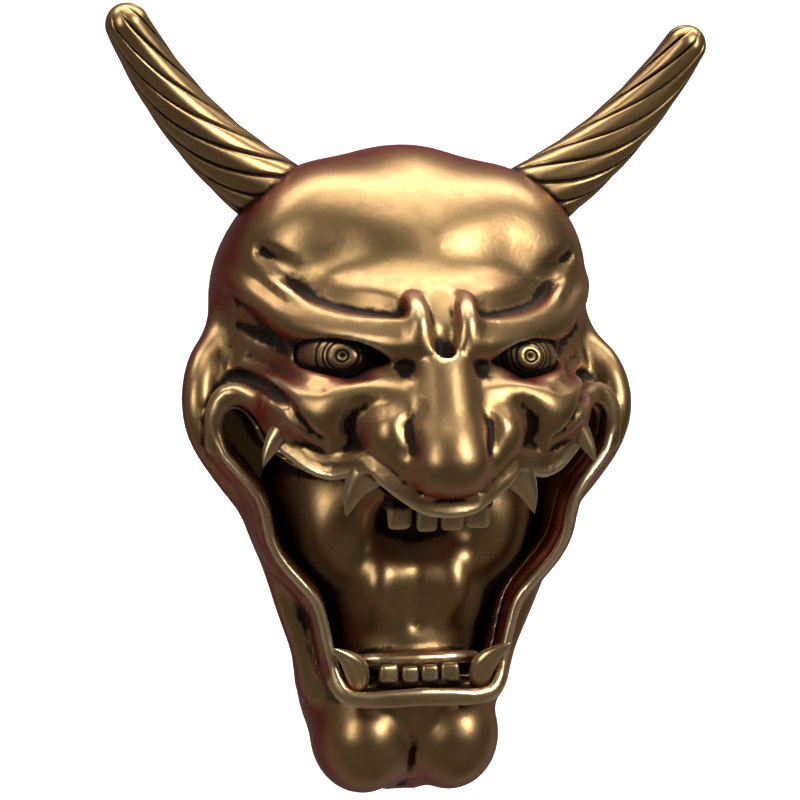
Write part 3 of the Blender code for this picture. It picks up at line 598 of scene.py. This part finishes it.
INNER_KEPT, INNER_NEAR = 0.15, 0.9     # share of faces kept, distance to the hollow in mm
inner = np.abs(sampled(cavity, places_of(face))) < INNER_NEAR
deselect()
bpy.context.view_layer.objects.active = face
face.data.vertices.foreach_set("select", inner)
corners = np.empty(len(face.data.loops), np.int32)
face.data.loops.foreach_get("vertex_index", corners)
starts = np.empty(len(face.data.polygons), np.int32)
face.data.polygons.foreach_get("loop_start", starts)
face.data.polygons.foreach_set("select", np.logical_and.reduceat(inner[corners], starts))
bpy.ops.object.mode_set(mode="EDIT")
bpy.ops.mesh.select_mode(type="FACE")
bpy.ops.mesh.decimate(ratio=INNER_KEPT)
bpy.ops.object.mode_set(mode="OBJECT")
print("face", len(face.data.polygons), "triangles")

# %% [markdown]
# ## Mouth lining
# Behind the lips lies one broad sheet, throat above and tongue below, in a closed bag that ends
# the mouth. It is modelled in the same clay and kept a hair clear of the casting.

# %% Lining
tongue = Clay(CLAY_STEP)
tongue.lump((0, -6, -48), (47, 42, 30), 0)
tongue.lump((0, -4, -76), (36, 35, 34), 12)
tongue.lump((0, 2, -98), (25, 29, 16), 10)
tongue.lump((0, 46, -56), (22, 28, 13), 9, carve=True)
tongue.lump((12, 11, -76), (10.5, 23, 15), 6)
tongue.lump((27, 6, -58), (14, 24, 20), 9)
tongue.stroke([(0, 34.5, -66), (0, 34, -76), (0, 31, -88)], [1.6, 2.0, 0.8], 3.5, carve=True)
tongue.stroke([(20, 27, -100), (12, 31.5, -99), (0, 33, -99)], [2.0, 2.2, 2.2], 3)
LINING_WALL, LINING_BACK = 1.6, -1.0
bag = np.maximum(np.maximum(mouth + LINING_WALL, -tongue.field), 2.0 - out_grid)
body = np.maximum(mouth - 5.0, LINING_BACK - out_grid)
body = np.maximum(body, np.minimum(np.minimum(masses + 5.0, out_grid - 25.0), tongue.field))
lining_clay = Clay(CLAY_STEP)
lining_clay.field = np.maximum(np.maximum(body, -bag), 0.3 - clay.field).astype(np.float32)
lining = skinned("mouth_sheet", lining_clay)

# %% [markdown]
# ## Eyes
# Each eye is a bronze egg let in from behind, engraved with rings for iris and pupil. A finely
# divided sphere is turned so that its pole looks out of the face, and the rings are cut round a
# point a little beside the pole.

# %% Eyes
# radius, half width and depth of each cut
IRIS_RINGS = ((1.9, 0.24, 0.30), (4.7, 0.22, 0.30), (6.1, 0.22, 0.30), (8.5, 0.28, 0.36))


def eye_ball(name):
    deselect()
    bpy.ops.mesh.primitive_uv_sphere_add(segments=128, ring_count=160, radius=1.0)
    piece = latest(name)
    unit = places_of(piece)
    local = np.stack([unit[:, 0], unit[:, 2], unit[:, 1]], 1) * EYE[1]
    reach = np.hypot(local[:, 0] + 3.0, (local[:, 2] - 0.9) * 1.08)
    depth = np.zeros(len(unit))
    # The whole eye is made a little darker by a flat amount, and the engraved rings more.
    eye_and_ring_darkening = np.full(len(unit), 0.22)
    for radius, width, deep in IRIS_RINGS:
        depth += deep * np.exp(-((reach - radius) / width) ** 2)
        eye_and_ring_darkening += np.exp(-((reach - radius) / (width * 1.3)) ** 2) * (unit[:, 2] > 0)
    depth += 0.9 * np.exp(-(reach / 1.1) ** 2)
    depth -= 0.25 * np.exp(-((reach - 3.2) / 0.9) ** 2)
    local[:, 1] -= np.where(unit[:, 2] > 0, depth, 0)
    angle = math.radians(EYE[2])
    x = local[:, 0] * math.cos(angle) + local[:, 1] * math.sin(angle) + EYE[0][0]
    out = -local[:, 0] * math.sin(angle) + local[:, 1] * math.cos(angle) + EYE[0][1]
    up = local[:, 2] + EYE[0][2]
    set_places(piece, np.stack([x * MM, (HOOK_OUT - out) * MM, (up - HOOK_UP) * MM], 1))
    face_out(piece)
    store(piece, "groove", eye_and_ring_darkening)
    return piece


eye_left = eye_ball("eye_engraved_left")
eye_right = mirrored(eye_left, "eye_engraved_right")

# %% [markdown]
# ## Horns
# A horn grows up and out in a gentle curve, narrows, and ends blunt. Broad ridges wind round it
# with sharp dark grooves between them. It starts as a cylinder whose long edges are subdivided
# into rings; each ring is then set on the curve with its own radius. A threaded stud behind the
# root goes through the wall to the washer and nut.

# %% Horn shape
HORN_PATH = ((40.0, 3.5, 47.5), (75.5, 6.0, 69.0), (94.5, 20.0, 106.5))
HORN_ROOT_R, HORN_END_R = 13.0, 6.5
HORN_RIDGES, HORN_TWIST = 9, -3.9
HORN_GROOVE_DEPTH = 0.85
STUD_R, STUD_PAST_NUT = 2.9, 4.0


def horn_frames(t):
    """Centre, side and outward directions of the horn's curve at each t."""
    root, bend, end = (np.array(at(*p)) for p in HORN_PATH)
    t = t[:, None]
    centre = root * (1 - t) ** 2 + bend * 2 * t * (1 - t) + end * t ** 2
    along = (bend - root) * (1 - t) + (end - bend) * t
    along /= np.linalg.norm(along, axis=1)[:, None]
    across = np.cross(along, (0.0, 1.0, 0.0))
    across /= np.linalg.norm(across, axis=1)[:, None]
    return centre, across, np.cross(across, along)


def horn_body(name):
    piece = ringed_cylinder(name, 192, 150)
    unit = places_of(piece)
    t = unit[:, 2] + 0.5
    t = 1 - (1 - t) ** 1.25
    around = np.arctan2(unit[:, 1], unit[:, 0])
    turn = (around - HORN_TWIST * t ** 0.9) * HORN_RIDGES / math.tau
    slot = np.abs(turn - np.round(turn)) * 2
    wander = 0.12 * np.sin(7 * t + 2 * around)
    groove = np.exp(-(np.maximum(slot + wander * 0.3, 0) / 0.15) ** 2)
    crown = np.sin(np.clip(slot, 0, 1) * math.pi / 2) ** 0.7
    blunt = np.sqrt(np.clip(1 - np.clip((t - 0.93) / 0.07, 0, 1) ** 2, 0, 1))
    fade = np.clip(t * 9, 0.15, 1) * np.clip((1.0 - t) * 14, 0, 1)
    radius = (HORN_ROOT_R + (HORN_END_R - HORN_ROOT_R) * t ** 0.9)
    radius = radius * np.maximum(blunt, 0.03) * (0.965 + 0.045 * crown * fade)
    radius = radius - HORN_GROOVE_DEPTH * groove * fade * (0.5 + 0.5 * radius / HORN_ROOT_R)
    centre, across, outward = horn_frames(t)
    ring = across * np.cos(around)[:, None] + outward * np.sin(around)[:, None]
    set_places(piece, centre + ring * (radius * MM)[:, None])
    store(piece, "groove", groove * fade)
    return piece


# %% Horns
def rod_between(name, start, end, radius):
    """Round rod with chamfered ends between two frame points."""
    deselect()
    start, end = Vector(start), Vector(end)
    bpy.ops.mesh.primitive_cylinder_add(vertices=40, radius=radius, depth=(end - start).length)
    piece = latest(name)
    rim = piece.modifiers.new("rim", "BEVEL")
    rim.width = radius * 0.2
    rim.segments = 3
    bpy.ops.object.modifier_apply(modifier="rim")
    piece.data.transform((end - start).to_track_quat("Z", "Y").to_matrix().to_4x4())
    piece.data.transform(Matrix.Translation((start + end) / 2))
    piece.location = (0, 0, 0)
    return piece


root_centre = np.array(at(*HORN_PATH[0]))
root_along = np.array(at(*HORN_PATH[1])) - root_centre
root_along /= np.linalg.norm(root_along)
nut_reach = (root_centre - np.array(middle)) @ root_along
stud_end = root_centre - root_along * (nut_reach + STUD_PAST_NUT * MM)
stud = rod_between("stud", root_centre, stud_end, STUD_R * MM)
horn_left = joined([horn_body("horn_ridged_left"), stud], "horn_ridged_left")
face_out(horn_left)
horn_right = mirrored(horn_left, "horn_ridged_right")

# %% [markdown]
# ## Fangs
# Three pairs of fangs sit in sockets in the gums. Each is a cone with many rings, bent a little
# and drawn to a rounded point. The lower pair is flatter and shaped like a leaf with a groove
# down its face.

# %% Fangs
FANGS = {    # root, tip, radius, bow, flatness, leaf
    "fang_upper_outer": ((43.2, 48, -21.5), (52.6, 51, -34.2), 5.4, 0.10, 0.85, False),
    "fang_upper_inner": ((21.4, 63, -34), (29.2, 64, -48), 6.6, 0.10, 0.8, False),
    "fang_lower": ((19.5, 34, -109.5), (28.7, 40, -93), 3.9, 0.16, 0.72, True),
}


def fang(name, root, tip, radius, bow, flatness, leaf):
    piece = ringed_cylinder(name, 64, 48)
    unit = places_of(piece)
    t = unit[:, 2] + 0.5
    around = np.arctan2(unit[:, 1], unit[:, 0])
    a, b = np.array(at(*root)), np.array(at(*tip))
    along = (b - a) / np.linalg.norm(b - a)
    across = np.cross(along, (0, 1, 0))
    across /= np.linalg.norm(across)
    outward = np.cross(across, along)
    if leaf:
        swell = np.maximum(np.sin(np.clip(0.22 + 0.78 * t, 0, 1) * math.pi), 0)
        wide = (swell ** 0.75 + 0.05 * (1 - t)) * radius
        dent = 0.22 * np.exp(-((np.cos(around)) / 0.22) ** 2) * np.sin(t * math.pi)
        wide = wide * (1 - dent * (np.abs(np.sin(around)) > 0.3))
    else:
        wide = radius * (1 - t) ** 0.85 * (1 + 0.04 * np.sin(t * 9))
    wide = np.maximum(wide, 0.02)
    sag = np.sin(math.pi * t) * bow * np.linalg.norm(b - a)
    place = a + np.outer(t, b - a) + np.outer(sag, across)
    place += np.outer(np.cos(around) * wide * MM, across)
    place += np.outer(np.sin(around) * wide * flatness * MM, outward)
    set_places(piece, place)
    face_out(piece)
    store(piece, "groove", np.clip(1 - t * 4.5, 0, 1))
    return piece


fangs = {}
for word, shape in FANGS.items():
    left = fang(word + "_carved_left", *shape)
    fangs[word + "_left"] = left
    fangs[word + "_right"] = mirrored(left, word + "_carved_right")

# %% [markdown]
# ## Teeth
# Four square front teeth stand in each row on one gum strip. A tooth starts as a cube, its face
# is rounded by a bevel and subdivision, and the others are copies with slightly different
# widths, because the real row is uneven.

# %% Teeth
def tooth(name, width, depth, tall):
    deselect()
    bpy.ops.mesh.primitive_cube_add(size=1.0)
    piece = latest(name)
    places = places_of(piece)
    lower = places[:, 2] < 0
    places *= (width, depth, tall)
    places[lower, 0] *= 0.9
    places[lower, 1] *= 0.75
    set_places(piece, places)
    edge = piece.modifiers.new("edge", "BEVEL")
    edge.width = width * 0.2
    edge.segments = 3
    bpy.ops.object.modifier_apply(modifier="edge")
    round_off = piece.modifiers.new("round", "SUBSURF")
    round_off.levels = 2
    round_off.render_levels = 2
    bpy.ops.object.modifier_apply(modifier="round")
    return piece


TOOTH_GAP, TOOTH_IN_GUM = 0.5, 1.0
TOOTH_LIFTS = (0.35, -0.25, 0.0, 0.3)
ROW_VOXEL = 0.22


def tooth_row(name, half_width, out, root_up, edge_up, depth, bow, widths):
    """Teeth of the given relative widths side by side, and the gum they stand in."""
    parts = []
    scale = 2 * half_width / sum(widths)
    x = -half_width
    tall = abs(edge_up - root_up)
    for k, share in enumerate(widths):
        width = share * scale
        piece = tooth(name, (width - TOOTH_GAP) * MM, 2 * depth * MM,
                      (tall + TOOTH_IN_GUM) * MM)
        if edge_up > root_up:
            places = places_of(piece)
            places[:, 2] *= -1
            set_places(piece, places)
            piece.data.flip_normals()
        middle_x = x + width / 2
        back = bow * (middle_x / half_width * 2) ** 2
        turn = Matrix.Rotation(-bow * middle_x * 0.03, 4, "Z")
        spot = at(middle_x, out - back, (edge_up + root_up) / 2 + TOOTH_LIFTS[k])
        piece.data.transform(Matrix.Translation(spot) @ turn)
        parts.append(piece)
        x += width
    for part in np.linspace(-1, 1, 9)[:-1]:
        start = at(part * half_width, out - bow * (part * 2) ** 2 - 0.4, root_up)
        after = part + 0.25
        end = at(after * half_width, out - bow * (after * 2) ** 2 - 0.4, root_up)
        parts.append(rod_between("gum", start, end, depth * 0.95 * MM))
    row = joined(parts, name)
    skin = row.modifiers.new("skin", "REMESH")
    skin.mode = "VOXEL"
    skin.voxel_size = ROW_VOXEL * MM
    bpy.ops.object.modifier_apply(modifier="skin")
    soft = row.modifiers.new("soft", "SMOOTH")
    soft.iterations = 3
    bpy.ops.object.modifier_apply(modifier="soft")
    face_out(row)
    height = places_of(row)[:, 2] / MM + HOOK_UP
    near_gum = np.clip(1 - np.abs(height - root_up) / 3.0, 0, 1)
    side = places_of(row)[:, 0] / MM
    gaps = np.cumsum([w * scale for w in widths])[:-1] - half_width
    between = sum(np.exp(-((side - g) / 0.45) ** 2) for g in gaps)
    store(row, "groove", np.clip(near_gum + between, 0, 1))
    print(name, len(row.data.polygons), "faces")
    return row


teeth_upper = tooth_row("teeth_row_upper", 16.6, 62.0, -44.5, -52.6, 2.2, 0.8, (7.2, 6.0, 6.6, 7.0))
teeth_lower = tooth_row("teeth_row_lower", 13.6, 36.2, -106.5, -100.6, 1.9, 0.45, (7.0, 6.0, 6.2, 6.8))

# %% [markdown]
# ## Where patina and painted shade sit, and where the bronze is rubbed away
# Dark patina is brushed on all over and wiped off, so it stays in hollows and goes from edges.
# Both can be measured: blur the solid, and a point that sits in a hollow has more solid round it
# than a point on a flat, and an edge has less. Three blurs of different width find fine lines,
# folds and deep hollows. The fine lines and folds take patina; the darkening of the deep hollows
# is painted shade. The result is stored on each vertex, so it follows the shape in any
# pose and from any side.

# %% Measured wear and painted shade
def blurred(field, radius):
    """Share of solid within about radius millimetres of each grid point."""
    share = np.clip(0.5 - field / (2 * CLAY_STEP), 0, 1).astype(np.float32)
    pad = int(radius / CLAY_STEP) * 3 + 2
    share = np.concatenate([share[pad:0:-1], share], axis=0)
    width = max(int(round(radius / CLAY_STEP)), 1)
    for axis in range(3):
        for _ in range(3):
            ends = [(0, 0)] * 3
            ends[axis] = (width + 1, width)
            total = np.cumsum(np.pad(share, ends, mode="edge"), axis=axis, dtype=np.float64)
            size = share.shape[axis]
            high = np.take(total, range(2 * width + 1, 2 * width + 1 + size), axis=axis)
            low = np.take(total, range(0, size), axis=axis)
            share = ((high - low) / (2 * width + 1)).astype(np.float32)
    return share[pad:]


solid = np.minimum(modelled, np.maximum(np.minimum(lining_clay.field, tongue.field), mouth - 5.0))
eyes_clay = Clay(CLAY_STEP)
eyes_clay.lump(EYE[0], EYE[1], 0, turn=EYE[2])
solid = np.minimum(solid, eyes_clay.field)
FINE, FOLD, DEEP = (blurred(solid, r) for r in (1.0, 2.5, 7.0))


def ramp(values, low, high):
    t = np.clip((values - low) / (high - low), 0, 1)
    return t * t * (3 - 2 * t)


def measure_wear_and_shade(piece):
    places = places_of(piece)
    flat = np.empty(len(places) * 3, np.float32)
    piece.data.vertex_normals.foreach_get("vector", flat)
    normal = flat.reshape(-1, 3)
    fine = sampled(FINE, places) - 0.5
    fold = sampled(FOLD, places) - 0.5
    deep = sampled(DEEP, places) - 0.5
    groove = np.zeros(len(places), np.float32)
    if "groove" in piece.data.attributes:
        piece.data.attributes["groove"].data.foreach_get("value", groove)
    # Fine lines and folds hold patina; the wide blur of deep hollows adds painted shade.
    recess = ramp(fine, 0.02, 0.16) * 0.8 + ramp(fold, 0.02, 0.20) * 0.9 + ramp(deep, 0.03, 0.26) * 0.9
    recess = np.clip(recess + groove, 0, 1)
    edge = ramp(-fine, 0.05, 0.20) * 0.8 + ramp(-fold, 0.10, 0.30) * 0.5
    # Surfaces turned from the front, and those facing down, are marked for the red-brown painted shade.
    front = -normal[:, 1] + 0.12 * normal[:, 2]
    store(piece, "recess", recess)
    store(piece, "edge", np.clip(edge, 0, 1) * (1 - recess))
    store(piece, "flank_shade", ramp(0.84 - front, 0.0, 0.52))
    print(piece.name, "recess", round(float(recess.mean()), 2), "edge", round(float(edge.mean()), 2))


carved = [face, lining, eye_left, eye_right, teeth_upper, teeth_lower] + list(fangs.values())
for piece in carved:
    measure_wear_and_shade(piece)


def measure_horn(piece):
    """A horn has no clay round it: its grooves are already known."""
    places = places_of(piece)
    flat = np.empty(len(places) * 3, np.float32)
    piece.data.vertex_normals.foreach_get("vector", flat)
    groove = np.zeros(len(places), np.float32)
    piece.data.attributes["groove"].data.foreach_get("value", groove)
    near_root = ramp(sampled(FOLD, places) - 0.12, 0.0, 0.3)
    store(piece, "recess", np.clip(groove * 1.1 + near_root * 0.6, 0, 1))
    store(piece, "edge", 0.25 * (1 - groove))
    # Horn surfaces not facing the front are marked for the same red-brown painted shade.
    store(piece, "flank_shade", ramp(0.72 + flat.reshape(-1, 3)[:, 1], 0.0, 0.55))


for piece in (horn_left, horn_right):
    measure_horn(piece)

# %% [markdown]
# ## Finish
# One node group makes the worn bronze of every metal piece from four colours and the measured
# masks: metal, rubbed edge, dark patina with painted shade in deep hollows, and a red-brown
# lacquer tone laid on surfaces turned away from the front as painted shade. Noise on Object
# coordinates breaks the masks up, adds the tiny pits that hold patina, and gives the fine skin
# of a sand casting.

# %% Node helpers
def wire(tree, source, target):
    """Link a socket, or set a plain number or colour."""
    if hasattr(source, "is_output"):
        tree.links.new(source, target)
    else:
        target.default_value = source


def calc(tree, operation, first, second=0.0, clamp=False):
    node = tree.nodes.new("ShaderNodeMath")
    node.operation = operation
    node.use_clamp = clamp
    wire(tree, first, node.inputs[0])
    wire(tree, second, node.inputs[1])
    return node.outputs[0]


def ranged(tree, value, low, high, to_low=0.0, to_high=1.0):
    node = tree.nodes.new("ShaderNodeMapRange")
    node.interpolation_type = "SMOOTHSTEP"
    wire(tree, value, node.inputs["Value"])
    for name, number in (("From Min", low), ("From Max", high), ("To Min", to_low), ("To Max", to_high)):
        node.inputs[name].default_value = number
    return node.outputs[0]


def blend_colour(tree, share, first, second):
    node = tree.nodes.new("ShaderNodeMix")
    node.data_type = "RGBA"
    wire(tree, share, node.inputs["Factor"])
    wire(tree, first, node.inputs["A"])
    wire(tree, second, node.inputs["B"])
    return node.outputs["Result"]


def noise(tree, coords, scale, detail=3.0, rough=0.55):
    node = tree.nodes.new("ShaderNodeTexNoise")
    node.inputs["Scale"].default_value = scale
    node.inputs["Detail"].default_value = detail
    node.inputs["Roughness"].default_value = rough
    tree.links.new(coords, node.inputs["Vector"])
    return node.outputs["Fac"]


def new_group(name, inputs, outputs):
    tree = bpy.data.node_groups.new(name, "ShaderNodeTree")
    for socket, kind, start in inputs:
        made = tree.interface.new_socket(name=socket, in_out="INPUT", socket_type="NodeSocket" + kind)
        if start is not None:
            made.default_value = start
    for socket, kind in outputs:
        tree.interface.new_socket(name=socket, in_out="OUTPUT", socket_type="NodeSocket" + kind)
    return tree, tree.nodes.new("NodeGroupInput").outputs, tree.nodes.new("NodeGroupOutput").inputs


# %% Worn bronze with painted shade
WORN_SHADED_GROUP, given, result = new_group(
    "worn_and_shaded_bronze",
    [("Position", "Vector", None), ("Recess", "Float", 0.0), ("Edge", "Float", 0.0),
     ("Flank_Shade", "Float", 0.0), ("Metal", "Color", None), ("Rubbed", "Color", None),
     ("Patina_Shade", "Color", None), ("Lacquer_Shade", "Color", None)],
    [("Color", "Color"), ("Roughness", "Float"), ("Metallic", "Float"), ("Height", "Float")])
cloud = noise(WORN_SHADED_GROUP, given["Position"], 60.0, 4.0)
mottle = noise(WORN_SHADED_GROUP, given["Position"], 260.0, 5.0, 0.65)
grit = noise(WORN_SHADED_GROUP, given["Position"], 1500.0, 3.0, 0.7)
skin = noise(WORN_SHADED_GROUP, given["Position"], 620.0, 2.0, 0.5)
drift = calc(WORN_SHADED_GROUP, "MULTIPLY", calc(WORN_SHADED_GROUP, "SUBTRACT", cloud, 0.5), 0.55)
speck = calc(WORN_SHADED_GROUP, "MULTIPLY", calc(WORN_SHADED_GROUP, "SUBTRACT", mottle, 0.5), 0.75)
uneven = calc(WORN_SHADED_GROUP, "ADD", calc(WORN_SHADED_GROUP, "ADD", given["Recess"], drift), speck)
# Dark in recesses: patina in lines and folds, random tone, and painted shade in deep hollows.
stain_and_shade = ranged(WORN_SHADED_GROUP, uneven, 0.12, 0.66)
pit_zone = ranged(WORN_SHADED_GROUP, uneven, 0.05, 0.50)
pits = calc(WORN_SHADED_GROUP, "MULTIPLY", ranged(WORN_SHADED_GROUP, grit, 0.56, 0.66), pit_zone)
dark = calc(WORN_SHADED_GROUP, "MAXIMUM", stain_and_shade, calc(WORN_SHADED_GROUP, "MULTIPLY", pits, 0.85))
bare = calc(WORN_SHADED_GROUP, "MULTIPLY", given["Edge"], ranged(WORN_SHADED_GROUP, cloud, 0.25, 0.6, 0.6, 1.0), True)
base = blend_colour(WORN_SHADED_GROUP, ranged(WORN_SHADED_GROUP, mottle, 0.3, 0.75, 0.0, 0.16), given["Metal"], given["Patina_Shade"])
base = blend_colour(WORN_SHADED_GROUP, bare, base, given["Rubbed"])
# Surfaces turned from the front take the red-brown lacquer tone as painted shade, less where the edge is
# rubbed; the same share lowers Metallic.
shade = calc(WORN_SHADED_GROUP, "ADD", given["Flank_Shade"], calc(WORN_SHADED_GROUP, "MULTIPLY", drift, 0.5), True)
lacquer_shade_share = calc(WORN_SHADED_GROUP, "MULTIPLY", shade, calc(WORN_SHADED_GROUP, "SUBTRACT", 1.0, calc(WORN_SHADED_GROUP, "MULTIPLY", bare, 0.5)))
base = blend_colour(WORN_SHADED_GROUP, lacquer_shade_share, base, given["Lacquer_Shade"])
wire(WORN_SHADED_GROUP, blend_colour(WORN_SHADED_GROUP, dark, base, given["Patina_Shade"]), result["Color"])
gloss = calc(WORN_SHADED_GROUP, "ADD", calc(WORN_SHADED_GROUP, "MULTIPLY", dark, 0.20), calc(WORN_SHADED_GROUP, "MULTIPLY", mottle, 0.10))
gloss = calc(WORN_SHADED_GROUP, "SUBTRACT", gloss, calc(WORN_SHADED_GROUP, "MULTIPLY", bare, 0.05))
wire(WORN_SHADED_GROUP, calc(WORN_SHADED_GROUP, "ADD", gloss, 0.30, True), result["Roughness"])
wire(WORN_SHADED_GROUP, calc(WORN_SHADED_GROUP, "SUBTRACT", 1.0, calc(WORN_SHADED_GROUP, "MULTIPLY", lacquer_shade_share, 0.6)), result["Metallic"])
relief = calc(WORN_SHADED_GROUP, "ADD", calc(WORN_SHADED_GROUP, "MULTIPLY", skin, 0.35), calc(WORN_SHADED_GROUP, "MULTIPLY", mottle, 0.35))
wire(WORN_SHADED_GROUP, calc(WORN_SHADED_GROUP, "SUBTRACT", relief, calc(WORN_SHADED_GROUP, "MULTIPLY", pits, 0.9)), result["Height"])


def bronze(name, metal, rubbed, patina_shade, lacquer_shade, bump=0.35, recess=None):
    """Material of one metal piece; a piece with no measured wear takes a plain recess."""
    made = bpy.data.materials.new(name)
    made.use_nodes = True
    tree = made.node_tree
    shader = tree.nodes["Principled BSDF"]
    worn_shaded_node = tree.nodes.new("ShaderNodeGroup")
    worn_shaded_node.node_tree = WORN_SHADED_GROUP
    coords = tree.nodes.new("ShaderNodeTexCoord")
    tree.links.new(coords.outputs["Object"], worn_shaded_node.inputs["Position"])
    for socket, attribute in (("Recess", "recess"), ("Edge", "edge"), ("Flank_Shade", "flank_shade")):
        if recess is None:
            reader = tree.nodes.new("ShaderNodeAttribute")
            reader.attribute_name = attribute
            tree.links.new(reader.outputs["Fac"], worn_shaded_node.inputs[socket])
    if recess is not None:
        worn_shaded_node.inputs["Recess"].default_value = recess
    for socket, colour in (("Metal", metal), ("Rubbed", rubbed), ("Patina_Shade", patina_shade), ("Lacquer_Shade", lacquer_shade)):
        worn_shaded_node.inputs[socket].default_value = (*colour, 1.0)
    lift = tree.nodes.new("ShaderNodeBump")
    lift.inputs["Strength"].default_value = bump
    lift.inputs["Distance"].default_value = 0.0003
    shader.inputs["Specular IOR Level"].default_value = 0.25
    tree.links.new(worn_shaded_node.outputs["Height"], lift.inputs["Height"])
    tree.links.new(worn_shaded_node.outputs["Color"], shader.inputs["Base Color"])
    tree.links.new(worn_shaded_node.outputs["Roughness"], shader.inputs["Roughness"])
    tree.links.new(worn_shaded_node.outputs["Metallic"], shader.inputs["Metallic"])
    tree.links.new(lift.outputs["Normal"], shader.inputs["Normal"])
    return made


# Dark brown for the patina and for the painted shade in deep hollows.
PATINA_SHADE_TONE = (0.020, 0.013, 0.009)
# Red-brown lacquer tone laid on surfaces turned from the front, as painted shade.
LACQUER_SHADE_TONE = (0.105, 0.010, 0.005)
cast_finish = bronze("cast_bronze_satin", (0.33, 0.205, 0.088), (0.74, 0.55, 0.30), PATINA_SHADE_TONE, LACQUER_SHADE_TONE)
horn_finish = bronze("horn_bronze_satin", (0.31, 0.185, 0.072), (0.58, 0.40, 0.19), PATINA_SHADE_TONE,
                     (0.055, 0.010, 0.006))
gilt_finish = bronze("gilt_bronze_satin", (0.31, 0.195, 0.088), (0.56, 0.40, 0.20), PATINA_SHADE_TONE,
                     (0.10, 0.03, 0.018))
steel_finish = bronze("zinc_plate_dull", (0.56, 0.56, 0.54), (0.75, 0.75, 0.73), (0.16, 0.15, 0.14),
                      (0.3, 0.28, 0.26), 0.15, 0.12)

# %% Felt
felt_finish = bpy.data.materials.new("brown_wool_felt")
felt_finish.use_nodes = True
felt = felt_finish.node_tree
felt_shader = felt.nodes["Principled BSDF"]
felt_coords = felt.nodes.new("ShaderNodeTexCoord").outputs["Object"]
fibre = noise(felt, felt_coords, 2600.0, 4.0, 0.75)
tuft = noise(felt, felt_coords, 420.0, 3.0, 0.6)
FELT_DARK, FELT_LIGHT = (0.055, 0.035, 0.024, 1), (0.13, 0.088, 0.06, 1)
wire(felt, blend_colour(felt, ranged(felt, fibre, 0.35, 0.65), FELT_DARK, FELT_LIGHT),
     felt_shader.inputs["Base Color"])
felt_shader.inputs["Roughness"].default_value = 0.95
felt_shader.inputs["Sheen Weight"].default_value = 0.4
felt_lift = felt.nodes.new("ShaderNodeBump")
felt_lift.inputs["Strength"].default_value = 0.6
felt_lift.inputs["Distance"].default_value = 0.0003
wire(felt, calc(felt, "ADD", fibre, tuft), felt_lift.inputs["Height"])
wire(felt, felt_lift.outputs["Normal"], felt_shader.inputs["Normal"])

# %% [markdown]
# ## Put it together
# Every new piece rides on the mask body, takes the place of its frame node and names the finish
# it is painted from. The hanger's hardware already has its true shape in the frame, so it only
# gets better finishes.

# %% Pieces in place
def settle(piece, node, finish):
    piece.data.materials.clear()
    piece.data.materials.append(finish)
    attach(piece, "mask")
    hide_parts(node)


settle(face, "face_shell", cast_finish)
settle(lining, "mouth_lining", cast_finish)
settle(horn_left, "horn_left", horn_finish)
settle(horn_right, "horn_right", horn_finish)
gilt = {"eye_left": eye_left, "eye_right": eye_right,
        "teeth_upper": teeth_upper, "teeth_lower": teeth_lower, **fangs}
for node, piece in gilt.items():
    settle(piece, node, gilt_finish)
for name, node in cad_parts.items():
    if name.startswith("wall_pad"):
        node.material_slots[0].material = felt_finish
    elif name.startswith(("bar_", "hanger", "ring_", "clip_", "hang_", "horn_washer", "horn_nut")):
        node.material_slots[0].material = steel_finish
